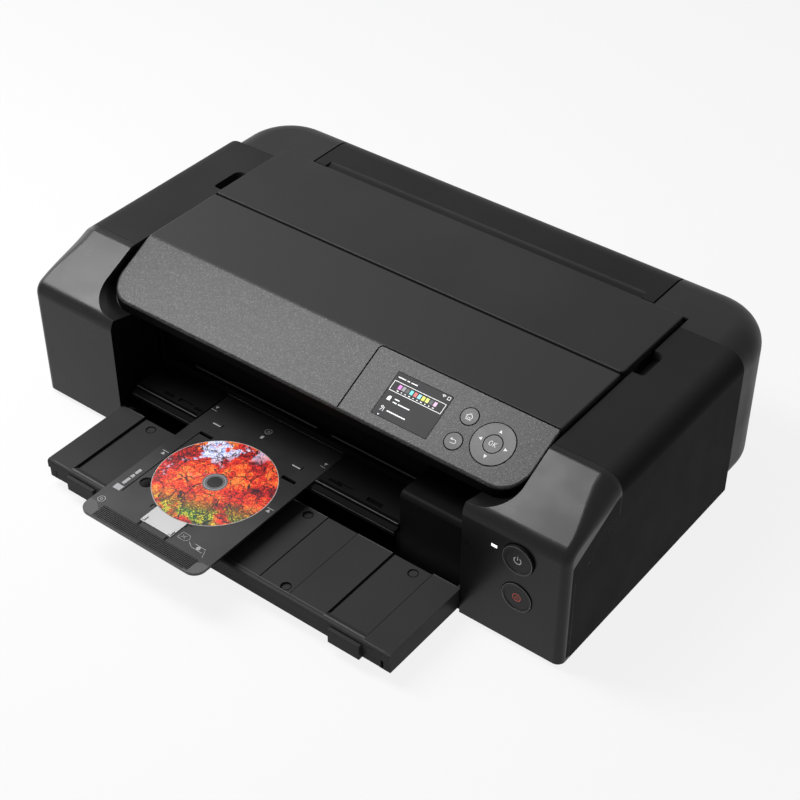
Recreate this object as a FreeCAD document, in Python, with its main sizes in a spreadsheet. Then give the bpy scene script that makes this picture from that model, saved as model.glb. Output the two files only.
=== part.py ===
"""Wide desktop photo printer with a disc-label tray, as a parametric assembly.

Machine axes: X to the right seen from the front, Y towards the back, Z up, desk at Z = 0.
Every sub-part is drawn with Y = 0 at the front of the end covers; its Placement then moves
it by FRONT_Y so that the origin is under the middle of the whole object.
"""
import FreeCAD, Part
import math
import os
import re
import Sketcher

doc = FreeCAD.newDocument("DiscLabelPrinter")
dims = doc.addObject("Spreadsheet::Sheet", "Dims")

SIZES = [
    # housing
    ("BodyWidth", 639.0), ("BodyDepth", 379.0), ("EndWidth", 108.5),
    ("OpeningWidth", "=BodyWidth - 2 * EndWidth"),
    ("FootHeight", 5.0), ("FootRadius", 11.0), ("FootInset", 34.0),
    ("CheekTop", 170.0), ("CheekFoldY", 73.0), ("FoldHeight", 134.0), ("RearDepth", 89.0),
    ("CheekRearY", "=BodyDepth - RearDepth"),
    ("CapSeamY", 79.5), ("CapSideHeight", 128.0), ("CapSideDepth", 14.0),
    ("TopRoll", 20.0), ("FrontRound", 8.0), ("FoldRound", 16.0),
    ("Wall", 2.5), ("SeamGap", 0.4), ("FitGap", 0.3), ("RunFit", 0.08),
    ("RearTop", "=CheekTop"), ("RearInset", 4.5), ("RearCorner", 60.0), ("RearRoll", 28.0),
    ("RearFoot", 18.0),
    # top covers
    ("CheekWidth", 73.5), ("LidWidth", "=BodyWidth - 2 * CheekWidth"), ("LidRise", 4.5),
    ("LidTop", "=CheekTop + LidRise"), ("LidFoldY", 96.0), ("LidLowY", 29.0),
    ("LidRearY", 190.5), ("LidDepth", 11.0), ("LidCorner", 28.0), ("LidEdge", 1.6),
    ("LidGap", 3.0), ("ScoopCorner", 36.0), ("ScoopFrontY", 4.5), ("ScoopClear", 1.0),
    ("ScoopBackstep", 20.0), ("LedgeBackY", 60.0), ("CoverSeam", 4.0),
    ("TrayCoverFrontY", "=LidRearY + CoverSeam"), ("CoverOverhang", 13.0),
    ("TrayCoverRearY", "=CheekRearY + CoverOverhang"), ("TrayCoverDepth", 9.0),
    ("FlapSeam", 6.0), ("FlapFrontY", "=TrayCoverRearY + FlapSeam"), ("FlapSide", 37.0),
    ("FlapWidth", "=LidWidth - 2 * FlapSide"), ("FlapDepth", 9.0),
    ("SkinThick", 2.2), ("HingePinRadius", 2.0), ("HingeEyeRadius", 4.2), ("EarThick", 6.0),
    ("LidHingeDrop", 7.0), ("LidHingeSetback", 5.5), ("LidEarInset", 46.0),
    ("LidEarX", "=LidWidth / 2 - LidEarInset"), ("CoverHingeDrop", 7.0),
    ("CoverHingeSetback", 5.0), ("CoverEarInset", 32.0),
    ("CoverEarX", "=LidWidth / 2 - CoverEarInset"), ("FlapHingeDrop", 14.0),
    ("FlapHingeSetback", 18.0), ("FlapEarInset", 29.0),
    ("FlapEarX", "=FlapWidth / 2 - FlapEarInset"), ("FlapMargin", 10.0),
    ("FlapRearY", "=BodyDepth - FlapMargin"), ("FlapTop", "=RearTop"),
    ("FlapGrooveDepth", 2.5), ("FlapGrooveRadius", 14.0),
    ("FlapGrooveEnd", 14.0), ("BridgeThick", 6.0), ("NotchInset", 11.5),
    ("NotchFrontY", "=TrayCoverFrontY + NotchInset"), ("NotchLength", 39.0),
    ("NotchRearY", "=NotchFrontY + NotchLength"), ("NotchWidth", 12.0), ("NotchDepth", 11.0),
    ("NotchCorner", 8.0),
    ("LedgeReach", 5.0), ("LedgeInner", "=LidWidth / 2 - LedgeReach"),
    # operation panel, measured up the slope from the lid's lower edge
    ("PanelWidth", 197.5), ("PanelLeft", "=LidWidth / 2 - PanelWidth"), ("PanelCorner", 4.0),
    ("ScreenInset", 62.75), ("ScreenX", "=PanelLeft + ScreenInset"), ("ScreenV", 34.5),
    ("ScreenWidth", 61.5), ("ScreenHeight", 46.5), ("ScreenThick", 1.4), ("KeyInset", 117.2),
    ("KeyX", "=PanelLeft + KeyInset"), ("KeyPitch", 27.0), ("KeyV", 34.5), ("KeyRadius", 8.3),
    ("RingInset", 151.0), ("RingX", "=PanelLeft + RingInset"), ("RingRadius", 20.7),
    ("OkRadius", 8.6), ("KeyProud", 0.3),
    # front buttons
    ("ButtonSide", 25.0), ("ButtonX", "=LidWidth / 2 + ButtonSide"), ("PowerZ", 107.0),
    ("StopZ", 61.4), ("ButtonRadius", 15.5), ("PowerProud", 3.0), ("StopProud", 1.0),
    ("LampOffset", 25.7), ("LampX", "=ButtonX - LampOffset"), ("LampZ", 107.7),
    ("LampWidth", 6.0), ("LampHeight", 3.0), ("ButtonBoardY", 7.0), ("KeyBoardDrop", 4.5),
    ("InletInset", 79.5), ("InletX", "=InletInset - BodyWidth / 2"), ("InletZ", 36.0),
    # output tray
    ("TrayClear", 1.0), ("TrayWidth", "=OpeningWidth - 2 * TrayClear"), ("TrayTop", 32.0),
    ("TrayBottom", 10.0), ("TraySplit", 22.5), ("TrayFrontY", -101.0), ("TrayRearY", 3.0),
    ("TrayPinY", 9.0), ("TrayPinZ", 20.0), ("TrayPinRadius", 3.0), ("TrayEyeRadius", 6.0),
    ("TrayRailWidth", 8.0), ("TrayLip", 4.0), ("ChannelInset", 30.0), ("ChannelWidth", 46.0),
    ("ChannelDepth", 2.6), ("FieldDepth", 1.2), ("StepDepth", 0.5), ("StepStart", 57.0),
    ("StepWidth", 36.0), ("FieldFront", 6.0), ("RampLength", 5.0), ("DimpleRadius", 4.5),
    ("DimpleDepth", 0.8), ("ExtensionThick", 10.0), ("ExtensionInset", 10.0),
    ("ExtensionWidth", "=TrayWidth - 2 * ExtensionInset"), ("GripBlock", 35.0),
    ("GripProud", 4.0),
    # disc tray and disc
    ("DiscTrayX", -46.5), ("DiscTrayWidth", 149.0), ("DiscTrayFrontY", -144.0),
    ("DiscTrayLength", 222.0), ("DiscTrayTop", 50.0), ("DiscTrayThick", 2.5),
    ("DiscTrayCorner", 12.0), ("DiscOffset", 2.3), ("DiscX", "=DiscTrayX + DiscOffset"),
    ("DiscInset", 103.6), ("DiscY", "=DiscTrayFrontY + DiscInset"), ("DiscDiameter", 120.0),
    ("DiscThick", 1.2), ("DiscHole", 15.0), ("DiscSink", 0.2), ("HubRadius", 7.3),
    ("AdapterReach", 80.0), ("AdapterFrontY", "=DiscY - AdapterReach"), ("AdapterWidth", 38.0),
    ("AdapterLength", 23.0), ("AdapterSlot", 3.0), ("SlotWidth", 16.4), ("SlotLength", 4.4),
    ("SlotSpread", 52.6), ("SlotReach", 44.8), ("SeatGroove", 1.0),
    ("TabSpread", 47.0), ("TabReach", 64.0), ("TabWidth", 11.0), ("TabLength", 6.0),
    ("FingerRadius", 7.0), ("FingerSpread", 50.3), ("FingerReach", 39.6),
    ("GripRibs", 8), ("GripPitch", 1.9), ("GripWidth", 118.0), ("GripInset", 2.2),
    # disc guide and inner covers
    ("GuideFrontY", 12.0), ("GuideRearY", 106.0), ("BlockWidth", 83.0),
    ("GuideRight", "=OpeningWidth / 2 - BlockWidth"), ("GuideThick", 6.0),
    ("BeamFrontY", 62.0), ("BeamDepth", 16.0), ("BeamBottom", 53.0), ("BeamDrop", 6.0),
    ("BeamTop", "=FoldHeight - BeamDrop"), ("BlockTop", 92.0), ("BlockFrontY", 18.0),
    # mechanism
    ("FloorThick", 3.0), ("FrameOutset", 25.0), ("FrameX", "=OpeningWidth / 2 + FrameOutset"),
    ("FrameThick", 2.0), ("FrameFrontY", 84.0), ("FrameInset", 10.0),
    ("FrameRearY", "=CheekRearY - FrameInset"), ("FrameDrop", 20.0),
    ("FrameTop", "=CheekTop - FrameDrop"), ("RearBeamDrop", 8.0),
    ("RearBeamZ", "=FrameTop - RearBeamDrop"),
    ("ShaftY", 176.0), ("ShaftZ", 92.0), ("ShaftRadius", 5.0), ("ParkInset", 98.0),
    ("CarriageX", "=FrameX - ParkInset"), ("CarriageWidth", 168.0), ("CarriageFrontY", 96.0),
    ("CarriageDepth", 92.0), ("CarriageBottom", 53.0), ("CarriageTop", 112.0),
    ("HeadWidth", 68.0), ("TankCount", 10), ("TankMargin", 6.0), ("TankGap", 1.2),
    ("TankPitch", "=(CarriageWidth - 2 * TankMargin) / TankCount"),
    ("TankWidth", "=TankPitch - TankGap"), ("TankDepth", 68.0), ("TankHeight", 70.0),
    ("RollerY", 206.0), ("RollerRadius", 9.0), ("RollerInset", 46.0),
    ("RollerLength", "=2 * (FrameX - RollerInset)"), ("PinchRadius", 4.0), ("PinchCount", 8),
    ("PinchPitch", 46.0), ("PinchWidth", 22.0), ("OutRollerY", 114.0),
    ("OutRollerRadius", 6.0), ("RollerPin", 3.0), ("PlatenFrontY", 124.0),
    ("PlatenRearY", 192.0), ("PlatenTop", 46.8), ("PlatenInset", 7.0),
    ("PlatenWidth", "=RollerLength - 2 * PlatenInset"), ("RailY", 194.0), ("RailThick", 2.0),
    ("RailTop", "=FrameTop"), ("BeltDrop", 24.0), ("BeltZ", "=RailTop - BeltDrop"),
    ("RailReach", 22.0), ("RailBottom", "=BeltZ - RailReach"), ("BeltInset", 22.0),
    ("BeltX", "=FrameX - BeltInset"), ("PulleyRadius", 9.0), ("PulleyWidth", 7.0),
    ("BeltThick", 1.2), ("MotorRadius", 14.0), ("MotorLength", 24.0),
    ("GearModule", 1.0), ("GearTeeth", 40), ("PinionTeeth", 16), ("GearWidth", 6.0),
]
for row, (alias, size) in enumerate(SIZES, start=1):
    dims.set("A%d" % row, alias)
    dims.setAlias("B%d" % row, alias)
for row, (alias, size) in enumerate(SIZES, start=1):
    dims.set("B%d" % row, str(size))
doc.recompute()

# derived lengths, as text that goes into expressions
HALF = "(BodyWidth / 2)"
REAR_HALF = "(BodyWidth / 2 - RearInset)"
INNER = "(OpeningWidth / 2)"
FLOOR = "(FootHeight + FloorThick)"
FRONT_Y = "(-(DiscTrayFrontY + BodyDepth) / 2)"
SLOPE = "((CheekTop - FoldHeight) / CheekFoldY)"
STRETCH = "sqrt(1 + %s * %s)" % (SLOPE, SLOPE)
LID_HALF = "(LidWidth / 2)"
LID_LOW_Z = "(LidTop - %s * (LidFoldY - LidLowY))" % SLOPE
LID_UNDER = "(LidTop - LidDepth)"
RECESS = "(LidWidth / 2 + LidGap)"
LID_SINK = "(CheekTop - LidTop + LidDepth + %s * (LidFoldY - CheekFoldY))" % SLOPE
SCOOP_DEPTH = "(%s / %s + ScoopClear)" % (LID_SINK, STRETCH)
SCOOP_LOW = "(FoldHeight - %s * %s - Wall)" % (SCOOP_DEPTH, STRETCH)
DISC_TRAY_UNDER = "(DiscTrayTop - DiscTrayThick)"
GUIDE_TOP = "(DiscTrayTop - DiscTrayThick - FitGap)"


def dim(alias):
    """One driving dimension as a number."""
    return float(dims.get(alias))


def bound(text):
    """Dimension names in a formula become references to the sheet."""
    return re.sub(r"\b([A-Z][A-Za-z]+)", r"Dims.\1", str(text))


def value(text):
    """A formula's present value, for picking edges and for shapes made in code."""
    probe = doc.getObject("Probe") or doc.addObject("Part::Box", "Probe")
    probe.setExpression("Length", bound("1000 + (%s)" % text))
    probe.recompute()
    return probe.Length.Value - 1000


def bind(obj, **formulas):
    for name, text in formulas.items():
        obj.setExpression(name, bound(text))


def place(obj, x="0", y="0", z="0"):
    for axis, text in zip("xyz", (x, y, z)):
        obj.setExpression("Placement.Base." + axis, bound(text))


def box(name, x0, x1, y0, y1, z0, z1):
    """A block between two X, two Y and two Z values."""
    block = doc.addObject("Part::Box", name)
    bind(block, Length="(%s) - (%s)" % (x1, x0), Width="(%s) - (%s)" % (y1, y0),
         Height="(%s) - (%s)" % (z1, z0))
    place(block, x0, y0, z0)
    return block


TURN = {"x": ((0, 1, 0), 90), "y": ((1, 0, 0), -90), "z": ((0, 0, 1), 0)}


def rod(name, axis, start, radius, length):
    """A cylinder that runs from start along +axis."""
    cylinder = doc.addObject("Part::Cylinder", name)
    bind(cylinder, Radius=radius, Height=length)
    direction, angle = TURN[axis]
    cylinder.Placement.Rotation = FreeCAD.Rotation(FreeCAD.Vector(*direction), angle)
    place(cylinder, *start)
    return cylinder


def fuse(name, *shapes):
    joined = doc.addObject("Part::MultiFuse", name)
    joined.Shapes = list(shapes)
    joined.Refine = True
    return joined


def cut(name, base, *tools):
    result = doc.addObject("Part::Cut", name)
    result.Base = base
    result.Tool = tools[0] if len(tools) == 1 else fuse(name + "_tools", *tools)
    result.Refine = True
    return result


def common(name, first, second):
    result = doc.addObject("Part::Common", name)
    result.Base = first
    result.Tool = second
    result.Refine = True
    return result


def group(name, *shapes):
    """Separate solids kept as one sub-part."""
    together = doc.addObject("Part::Compound", name)
    together.Links = list(shapes)
    return together


def prism(name, plane, points, start, length, corners=()):
    """A closed outline on a base plane, padded from start; corners lists (index, radius)."""
    body = doc.addObject("PartDesign::Body", name)
    sketch = body.newObject("Sketcher::SketchObject", name + "_outline")
    origin_plane = [f for f in body.Origin.OriginFeatures if f.Role == plane][0]
    sketch.AttachmentSupport = [(origin_plane, "")]
    sketch.MapMode = "FlatFace"
    count = len(points)
    for index in range(count):
        here = FreeCAD.Vector(index, index * index, 0)
        there = FreeCAD.Vector(index + 1, (index + 1) ** 2, 0)
        sketch.addGeometry(Part.LineSegment(here, there), False)
    for index in range(count):
        sketch.addConstraint(Sketcher.Constraint("Coincident", index, 2, (index + 1) % count, 1))
    for index, (across, along) in enumerate(points):
        for kind, tag, text in (("DistanceX", "u", across), ("DistanceY", "v", along)):
            number = sketch.addConstraint(Sketcher.Constraint(kind, -1, 1, index, 1, 1.0))
            sketch.renameConstraint(number, "%s%d" % (tag, index))
            sketch.setExpression("Constraints.%s%d" % (tag, index), bound(text))
    sketch.setExpression(".AttachmentOffset.Base.z", bound(start))
    pad = body.newObject("PartDesign::Pad", name + "_pad")
    pad.Profile = sketch
    pad.setExpression("Length", bound(length))
    doc.recompute()
    body.Tip = pad
    return body


def nearest_edges(shape, points):
    """Numbers of the edges that lie nearest to the given points."""
    numbers = []
    for point in points:
        vertex = Part.Vertex(FreeCAD.Vector(*point))
        gaps = [edge.distToShape(vertex)[0] for edge in shape.Edges]
        numbers.append(gaps.index(min(gaps)) + 1)
    return numbers


def round_off(name, base, rounds):
    """Fillet: rounds lists (point on the edge, radius) or (point, radius, end radius)."""
    doc.recompute()
    fillet = doc.addObject("Part::Fillet", name)
    fillet.Base = base
    edges = []
    for entry in rounds:
        number = nearest_edges(base.Shape, [entry[0]])[0]
        edges.append((number, entry[1], entry[-1]))
    fillet.Edges = edges
    doc.recompute()
    return fillet


def mirrored(side, low, high):
    """X limits given on the right side, as they are on the chosen side."""
    if side > 0:
        return low, high
    return "-(%s)" % high, "-(%s)" % low


def side_box(name, side, x0, x1, y0, y1, z0, z1):
    x0, x1 = mirrored(side, x0, x1)
    return box(name, x0, x1, y0, y1, z0, z1)


SUB_PARTS = []


def wrapped(obj, label):
    """A plain primitive keeps its own place inside a group of one."""
    if obj.TypeId in ("Part::Box", "Part::Cylinder"):
        obj = group(label + "_whole", obj)
    obj.Label = label
    return obj


def finish(obj, label):
    """Name a sub-part and move it from machine axes to the object's frame."""
    obj = wrapped(obj, label)
    obj.setExpression("Placement.Base.y", bound(FRONT_Y))
    SUB_PARTS.append(obj)
    return obj


# ---------------------------------------------------------------- slope axes
def tilt(obj, shift_y="0"):
    """Lay a part drawn as (x, v up the slope, n out of it) on the lid's sloping front."""
    obj.Placement.Rotation = FreeCAD.Rotation(FreeCAD.Vector(1, 0, 0), 1.0)
    obj.setExpression("Placement.Rotation.Angle", bound("atan(%s)" % SLOPE))
    place(obj, "0", "LidLowY + %s" % shift_y, LID_LOW_Z)
    return obj


# ---------------------------------------------------------------- end covers
def cheek_profile(name, inset, rear, low, margin):
    """Side outline of an end cover, moved inwards by inset, padded across its width."""
    first_z = "FoldHeight + %s * %s - (%s) * %s" % (SLOPE, inset, inset, STRETCH)
    fold_y = "(CheekTop - (%s) - FoldHeight + (%s) * %s) / %s" % (inset, inset, STRETCH, SLOPE)
    top = "CheekTop - (%s)" % inset
    points = [(inset, low), (inset, first_z), (fold_y, top), (rear, top), (rear, low)]
    start, end = "(%s + %s)" % (INNER, margin), "(%s - %s)" % (HALF, margin)
    return prism(name, "YZ_Plane", points, start, "%s - %s" % (end, start))


def right_cheek():
    """Moulded end housing: rolled outer edges, a scoop round the lid's corner, hollow."""
    half = dim("BodyWidth") / 2
    top = dim("CheekTop")
    rear = dim("CheekRearY")
    fold_y = dim("CheekFoldY")
    fold_z = dim("FoldHeight")
    middle = half - 30
    raw = cheek_profile("cheek_raw", "0", "CheekRearY", "FootHeight", "0")
    folded = round_off("cheek_fold", raw, [
        ((middle, 0, fold_z), dim("FoldRound")),
        ((middle, fold_y, top), dim("FoldRound") / 2)])
    tip = dim("FrontRound")
    roll = dim("TopRoll")
    rise = (top - fold_z) / fold_y
    outer = round_off("cheek_outer", folded, [
        ((half, rear - 5, top), roll),
        ((half, fold_y + 0.5, top - 0.2), roll),
        ((half, fold_y / 2, fold_z + rise * fold_y / 2), tip, roll),
        ((half, 1.0, fold_z - 1.0), tip),
        ((half, 0, fold_z / 2), tip)])
    inner_raw = cheek_profile("cheek_void_raw", "Wall", "CheekRearY + 1",
                              "FootHeight - 1", "Wall")
    wall = dim("Wall")
    inner = round_off("cheek_void_form", inner_raw, [
        ((half - wall, rear - 5, top - wall), roll - wall),
        ((half - wall, fold_y / 2, fold_z + rise * fold_y / 2 - wall * 1.1), tip,
         roll - wall),
        ((half - wall, wall, fold_z / 2), tip - wall)])
    solid_parts = [
        box("cheek_scoop_block", INNER, RECESS + " + Wall", "0", "LedgeBackY + Wall", SCOOP_LOW,
            "CheekTop"),
        box("cheek_rim_wall", INNER, RECESS + " + Wall", "LedgeBackY + Wall", "CheekRearY + 2",
            "CheekTop - 35", "CheekTop"),
        box("cheek_notch_block", INNER, RECESS + " + NotchWidth + Wall", "NotchFrontY - Wall",
            "NotchRearY + Wall", "CheekTop - NotchDepth - Wall", "CheekTop")]
    void = cut("cheek_void", inner, *solid_parts)
    well = box("cheek_well", INNER + " - 5", RECESS, "LedgeBackY", "CheekRearY + 5", "0",
               "CheekTop + 5")
    notch = box("cheek_notch_box", RECESS + " - 5", RECESS + " + NotchWidth",
                "NotchFrontY", "NotchRearY", "CheekTop - NotchDepth", "CheekTop + 5")
    side = value(RECESS + " + NotchWidth")
    notch = round_off("cheek_notch", notch, [
        ((side, dim("NotchRearY"), top), dim("NotchCorner")),
        ((side, dim("NotchFrontY"), top), dim("NotchCorner") / 2)])
    step = box("cheek_pan_step", INNER + " - 1", INNER + " + Wall + 0.1", "Wall",
               "LedgeBackY + 9", "0", FLOOR)
    hollow = cut("cheek_hollow", outer, void, well, scoop_tool(), notch, step)
    inside = [
        box("cheek_lid_ledge", "LedgeInner", RECESS + " + 1", "CheekFoldY + 50",
            "CheekFoldY + 90", LID_UNDER + " - 9", LID_UNDER + " - FitGap"),
        box("cheek_cover_ledge", "LedgeInner", RECESS + " + 1", "TrayCoverFrontY + 1",
            "NotchFrontY - 1", LID_UNDER + " - 9", "LidTop - TrayCoverDepth - FitGap"),
        box("cheek_return", HALF + " - Wall - RearInset", HALF + " - Wall / 2",
            "CheekRearY - Wall", "CheekRearY", FLOOR + " + FitGap", "CheekTop - TopRoll")]
    return fuse("cheek", hollow, *inside)


def scoop_tool():
    """The space round the lid's slope: wide at the skin, closing in to the lid's outline."""
    body = doc.addObject("PartDesign::Body", "scoop")
    plane = [f for f in body.Origin.OriginFeatures if f.Role == "XY_Plane"][0]
    lean = FreeCAD.Rotation(FreeCAD.Vector(1, 0, 0), math.degrees(math.atan(value(SLOPE))))
    vector = FreeCAD.Vector
    sections = []
    levels = (("rim", "0", RECESS, "ScoopFrontY", "ScoopCorner"),
              ("floor", "-" + SCOOP_DEPTH, "(%s - 1)" % RECESS, "(ScoopFrontY + ScoopBackstep)",
               "(LidCorner + 2)"))
    for tag, height, half, front, corner in levels:
        sketch = body.newObject("Sketcher::SketchObject", "scoop_" + tag)
        sketch.AttachmentSupport = [(plane, "")]
        sketch.MapMode = "FlatFace"
        half, front, corner = value(half), value(front), value(corner)
        rear = 150.0
        bend = corner * (1 - math.sqrt(0.5))
        right_low = vector(half, front + corner, 0)
        left_low = vector(-half, front + corner, 0)
        front_right = vector(half - corner, front, 0)
        front_left = vector(-half + corner, front, 0)
        sketch.addGeometry(Part.LineSegment(vector(-half, rear, 0), vector(half, rear, 0)), False)
        sketch.addGeometry(Part.LineSegment(vector(half, rear, 0), right_low), False)
        sketch.addGeometry(Part.Arc(right_low, vector(half - bend, front + bend, 0),
                                    front_right), False)
        sketch.addGeometry(Part.LineSegment(front_right, front_left), False)
        sketch.addGeometry(Part.Arc(front_left, vector(-half + bend, front + bend, 0),
                                    left_low), False)
        sketch.addGeometry(Part.LineSegment(left_low, vector(-half, rear, 0)), False)
        offset = lean.multVec(FreeCAD.Vector(0, 0, value(height)))
        offset.z += dim("FoldHeight")
        sketch.AttachmentOffset = FreeCAD.Placement(offset, lean)
        sections.append(sketch)
    loft = body.newObject("PartDesign::AdditiveLoft", "scoop_loft")
    loft.Profile = sections[0]
    loft.Sections = [sections[1]]
    loft.Ruled = True
    doc.recompute()
    lift = body.newObject("PartDesign::Pad", "scoop_lift")
    lift.Profile = sections[0]
    lift.Length = 40
    doc.recompute()
    body.Tip = lift
    return body


def cap_region(word, tag, gap):
    """Everything in front of the line where the front cap meets the end cover."""
    seam = "(CapSeamY + %s)" % gap
    side = "(CapSideDepth + %s)" % gap
    drop = "(CapSideHeight - %s)" % gap
    points = [("-20", "0"), ("-20", "CheekTop + 20"), (seam, "CheekTop + 20"), (seam, drop),
              (side, "%s - (%s - %s) * %s" % (drop, seam, side, SLOPE)), (side, "0")]
    skin = prism("%s_region_%s" % (word, tag), "YZ_Plane", points, "-%s - 10" % HALF,
                 "BodyWidth + 20")
    core = box("%s_core_%s" % (word, tag), "-%s + TopRoll + 5" % HALF, "%s - TopRoll - 5" % HALF,
               "-20", "CapSeamY + %s" % gap, "0", "CheekTop + 20")
    return fuse("%s_zone_%s" % (word, tag), skin, core)


def front_caps_and_covers():
    right = right_cheek()
    left = doc.addObject("Part::Mirroring", "cheek_mirrored")
    left.Source = right
    left.Normal = (1, 0, 0)
    for side, word, cheek in ((1, "right", right), (-1, "left", left)):
        cap = common(word + "_cap_blank", cheek, cap_region(word, "cap", "0"))
        cover = cut(word + "_cover_blank", cheek, cap_region(word, "wide", "SeamGap"))
        x0, x1 = mirrored(side, INNER + " - 1", INNER + " + Wall + 1")
        holes = [rod(word + "_pin_hole", "x", (x0, "TrayPinY", "TrayPinZ"), "TrayPinRadius",
                     "(%s) - (%s)" % (x1, x0))]
        if side > 0:
            reach = "Wall + 8"
            holes.append(rod("power_hole", "y", ("ButtonX", "-5", "PowerZ"),
                             "ButtonRadius + FitGap", reach))
            holes.append(rod("stop_hole", "y", ("ButtonX", "-5", "StopZ"),
                             "ButtonRadius + FitGap", reach))
            holes.append(box("lamp_hole", "LampX - LampWidth / 2", "LampX + LampWidth / 2", "-5",
                             "Wall + 5", "LampZ - LampHeight / 2", "LampZ + LampHeight / 2"))
        cap = cut(word + "_cap_bored", cap, *holes)
        if side > 0:
            posts = [rod("button_post_%d" % index, "y", (x, "Wall - 0.5", z), "3",
                         "ButtonBoardY - Wall + 0.5")
                     for index, (x, z) in enumerate(BUTTON_POSTS)]
            cap = fuse("right_cap_posts", cap, *posts)
        finish(cap, word + "_front_cap")
        finish(cover, word + "_end_cover")


BUTTON_POSTS = (("ButtonX - 24", "(PowerZ + StopZ) / 2"), ("ButtonX + 24", "(PowerZ + StopZ) / 2"))
front_caps_and_covers()


def front_buttons():
    """Round keys that press straight back, the lamp window and the board behind them."""
    for word, height, proud in (("power", "PowerZ", "PowerProud"), ("stop", "StopZ", "StopProud")):
        cap = rod(word + "_key_cap", "y", ("ButtonX", "-" + proud, height), "ButtonRadius",
                  proud + " + Wall + 1.6")
        flange = rod(word + "_key_flange", "y", ("ButtonX", "Wall + 0.1", height),
                     "ButtonRadius + 1.6", "1.5")
        dish = rod(word + "_key_dish", "y", ("ButtonX", "-%s - 1" % proud, height),
                   "ButtonRadius - 2.4", "1.5")
        key = fuse(word + "_key", cap, flange)
        finish(cut(word + "_key_dished", key, dish), word + "_button")
    lamp = box("lamp", "LampX - LampWidth / 2", "LampX + LampWidth / 2", "-0.2", "Wall + 0.6",
               "LampZ - LampHeight / 2", "LampZ + LampHeight / 2")
    finish(lamp, "status_led")
    plate = box("button_plate", "ButtonX - 28", "ButtonX + 28", "ButtonBoardY",
                "ButtonBoardY + 1.6", "StopZ - 14", SCOOP_LOW + " - FitGap * 2")
    parts = [plate]
    for word, height in (("power", "PowerZ"), ("stop", "StopZ")):
        parts.append(box(word + "_switch", "ButtonX - 3", "ButtonX + 3", "ButtonBoardY - 0.6",
                         "ButtonBoardY", "(%s) - 3" % height, "(%s) + 3" % height))
    finish(fuse("button_board_set", *parts), "button_board")


front_buttons()


# ---------------------------------------------------------------- base and rear housing
def base_and_rear():
    pan = box("pan_plate", "-%s + Wall + FitGap" % HALF, "%s - Wall - FitGap" % HALF,
              "Wall + FitGap", "CheekRearY", "FootHeight", FLOOR)
    doc.recompute()
    half, front = value(HALF) - dim("Wall"), dim("Wall")
    level = value("(FootHeight + FloorThick / 2)")
    shaped = round_off("pan_rounded", pan, [
        ((half, front, level), dim("FrontRound")),
        ((-half, front, level), dim("FrontRound"))])
    finish(shaped, "base_pan")
    feet = []
    for sx in ("-", ""):
        for y in ("FootInset + 6", "BodyDepth - RearCorner"):
            feet.append(rod("foot", "z", ("%s(%s - FootInset)" % (sx, HALF), y, "0"),
                            "FootRadius", "FootHeight"))
    finish(group("feet", *feet), "rubber_feet")

    def rear_form(name, inset, start):
        """The housing's outline at an inset: rounded in plan and rolled above and below."""
        block = box(name, "-%s + %s" % (REAR_HALF, inset), "%s - %s" % (REAR_HALF, inset), start,
                    "BodyDepth - %s" % inset, "FootHeight + %s" % inset, "RearTop - %s" % inset)
        gap = value(inset)
        half, depth = value(REAR_HALF) - gap, dim("BodyDepth") - gap
        top, low = dim("RearTop") - gap, dim("FootHeight") + gap
        form = round_off(name + "_plan", block, [
            ((half, depth, (top + low) / 2), dim("RearCorner") - gap),
            ((-half, depth, (top + low) / 2), dim("RearCorner") - gap)])
        form = round_off(name + "_rolled", form, [((0, depth, top), dim("RearRoll") - gap)])
        return round_off(name + "_foot", form, [((0, depth, low), dim("RearFoot") - gap)])

    outer = rear_form("rear_block", "0", "CheekRearY + SeamGap")
    inner = rear_form("rear_void", "Wall", "CheekRearY - 5")
    bay = box("cover_bay", "-" + RECESS, RECESS, "CheekRearY - 5", "FlapFrontY - 2",
              "RearTop - 30", "RearTop + 5")
    window = box("flap_window", "-FlapWidth / 2 - 2", "FlapWidth / 2 + 2", "CheekRearY",
                 "BodyDepth + 5", "FlapTop - FlapHingeDrop", "RearTop + 5")
    socket = box("inlet_hole", "InletX - 13", "InletX + 13", "BodyDepth - 10", "BodyDepth + 5",
                 "InletZ - 9", "InletZ + 9")
    shell = cut("rear_shell", outer, inner, bay, window, socket)
    ledges = []
    for side in (1, -1):
        word = "right" if side > 0 else "left"
        ledges.append(side_box(word + "_flap_root", side, "FlapWidth / 2 + 2", "FlapWidth / 2 + 12",
                               "FlapFrontY + 4", "FlapFrontY + 28", "RearTop - 14",
                               "RearTop - 1"))
        ledges.append(side_box(word + "_flap_ledge", side, "FlapWidth / 2 - 7",
                               "FlapWidth / 2 + 4", "FlapFrontY + 4", "FlapFrontY + 28",
                               "RearTop - 14", "FlapTop - FlapDepth - FitGap"))
    finish(fuse("rear_cover_body", shell, *ledges), "rear_cover")

    block = box("inlet_block", "InletX - 13", "InletX + 13", "BodyDepth - 22", "BodyDepth + 0.4",
                "InletZ - 9", "InletZ + 9")
    cavity = box("inlet_cavity", "InletX - 8.5", "InletX + 8.5", "BodyDepth - 16",
                 "BodyDepth + 5", "InletZ - 4.5", "InletZ + 4.5")
    pins = [rod("inlet_pin", "y", ("InletX %s 4.3" % sign, "BodyDepth - 17", "InletZ"), "1.2",
                "9") for sign in "+-"]
    finish(fuse("inlet_set", cut("inlet_shell", block, cavity), *pins), "power_inlet")


base_and_rear()


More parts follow.
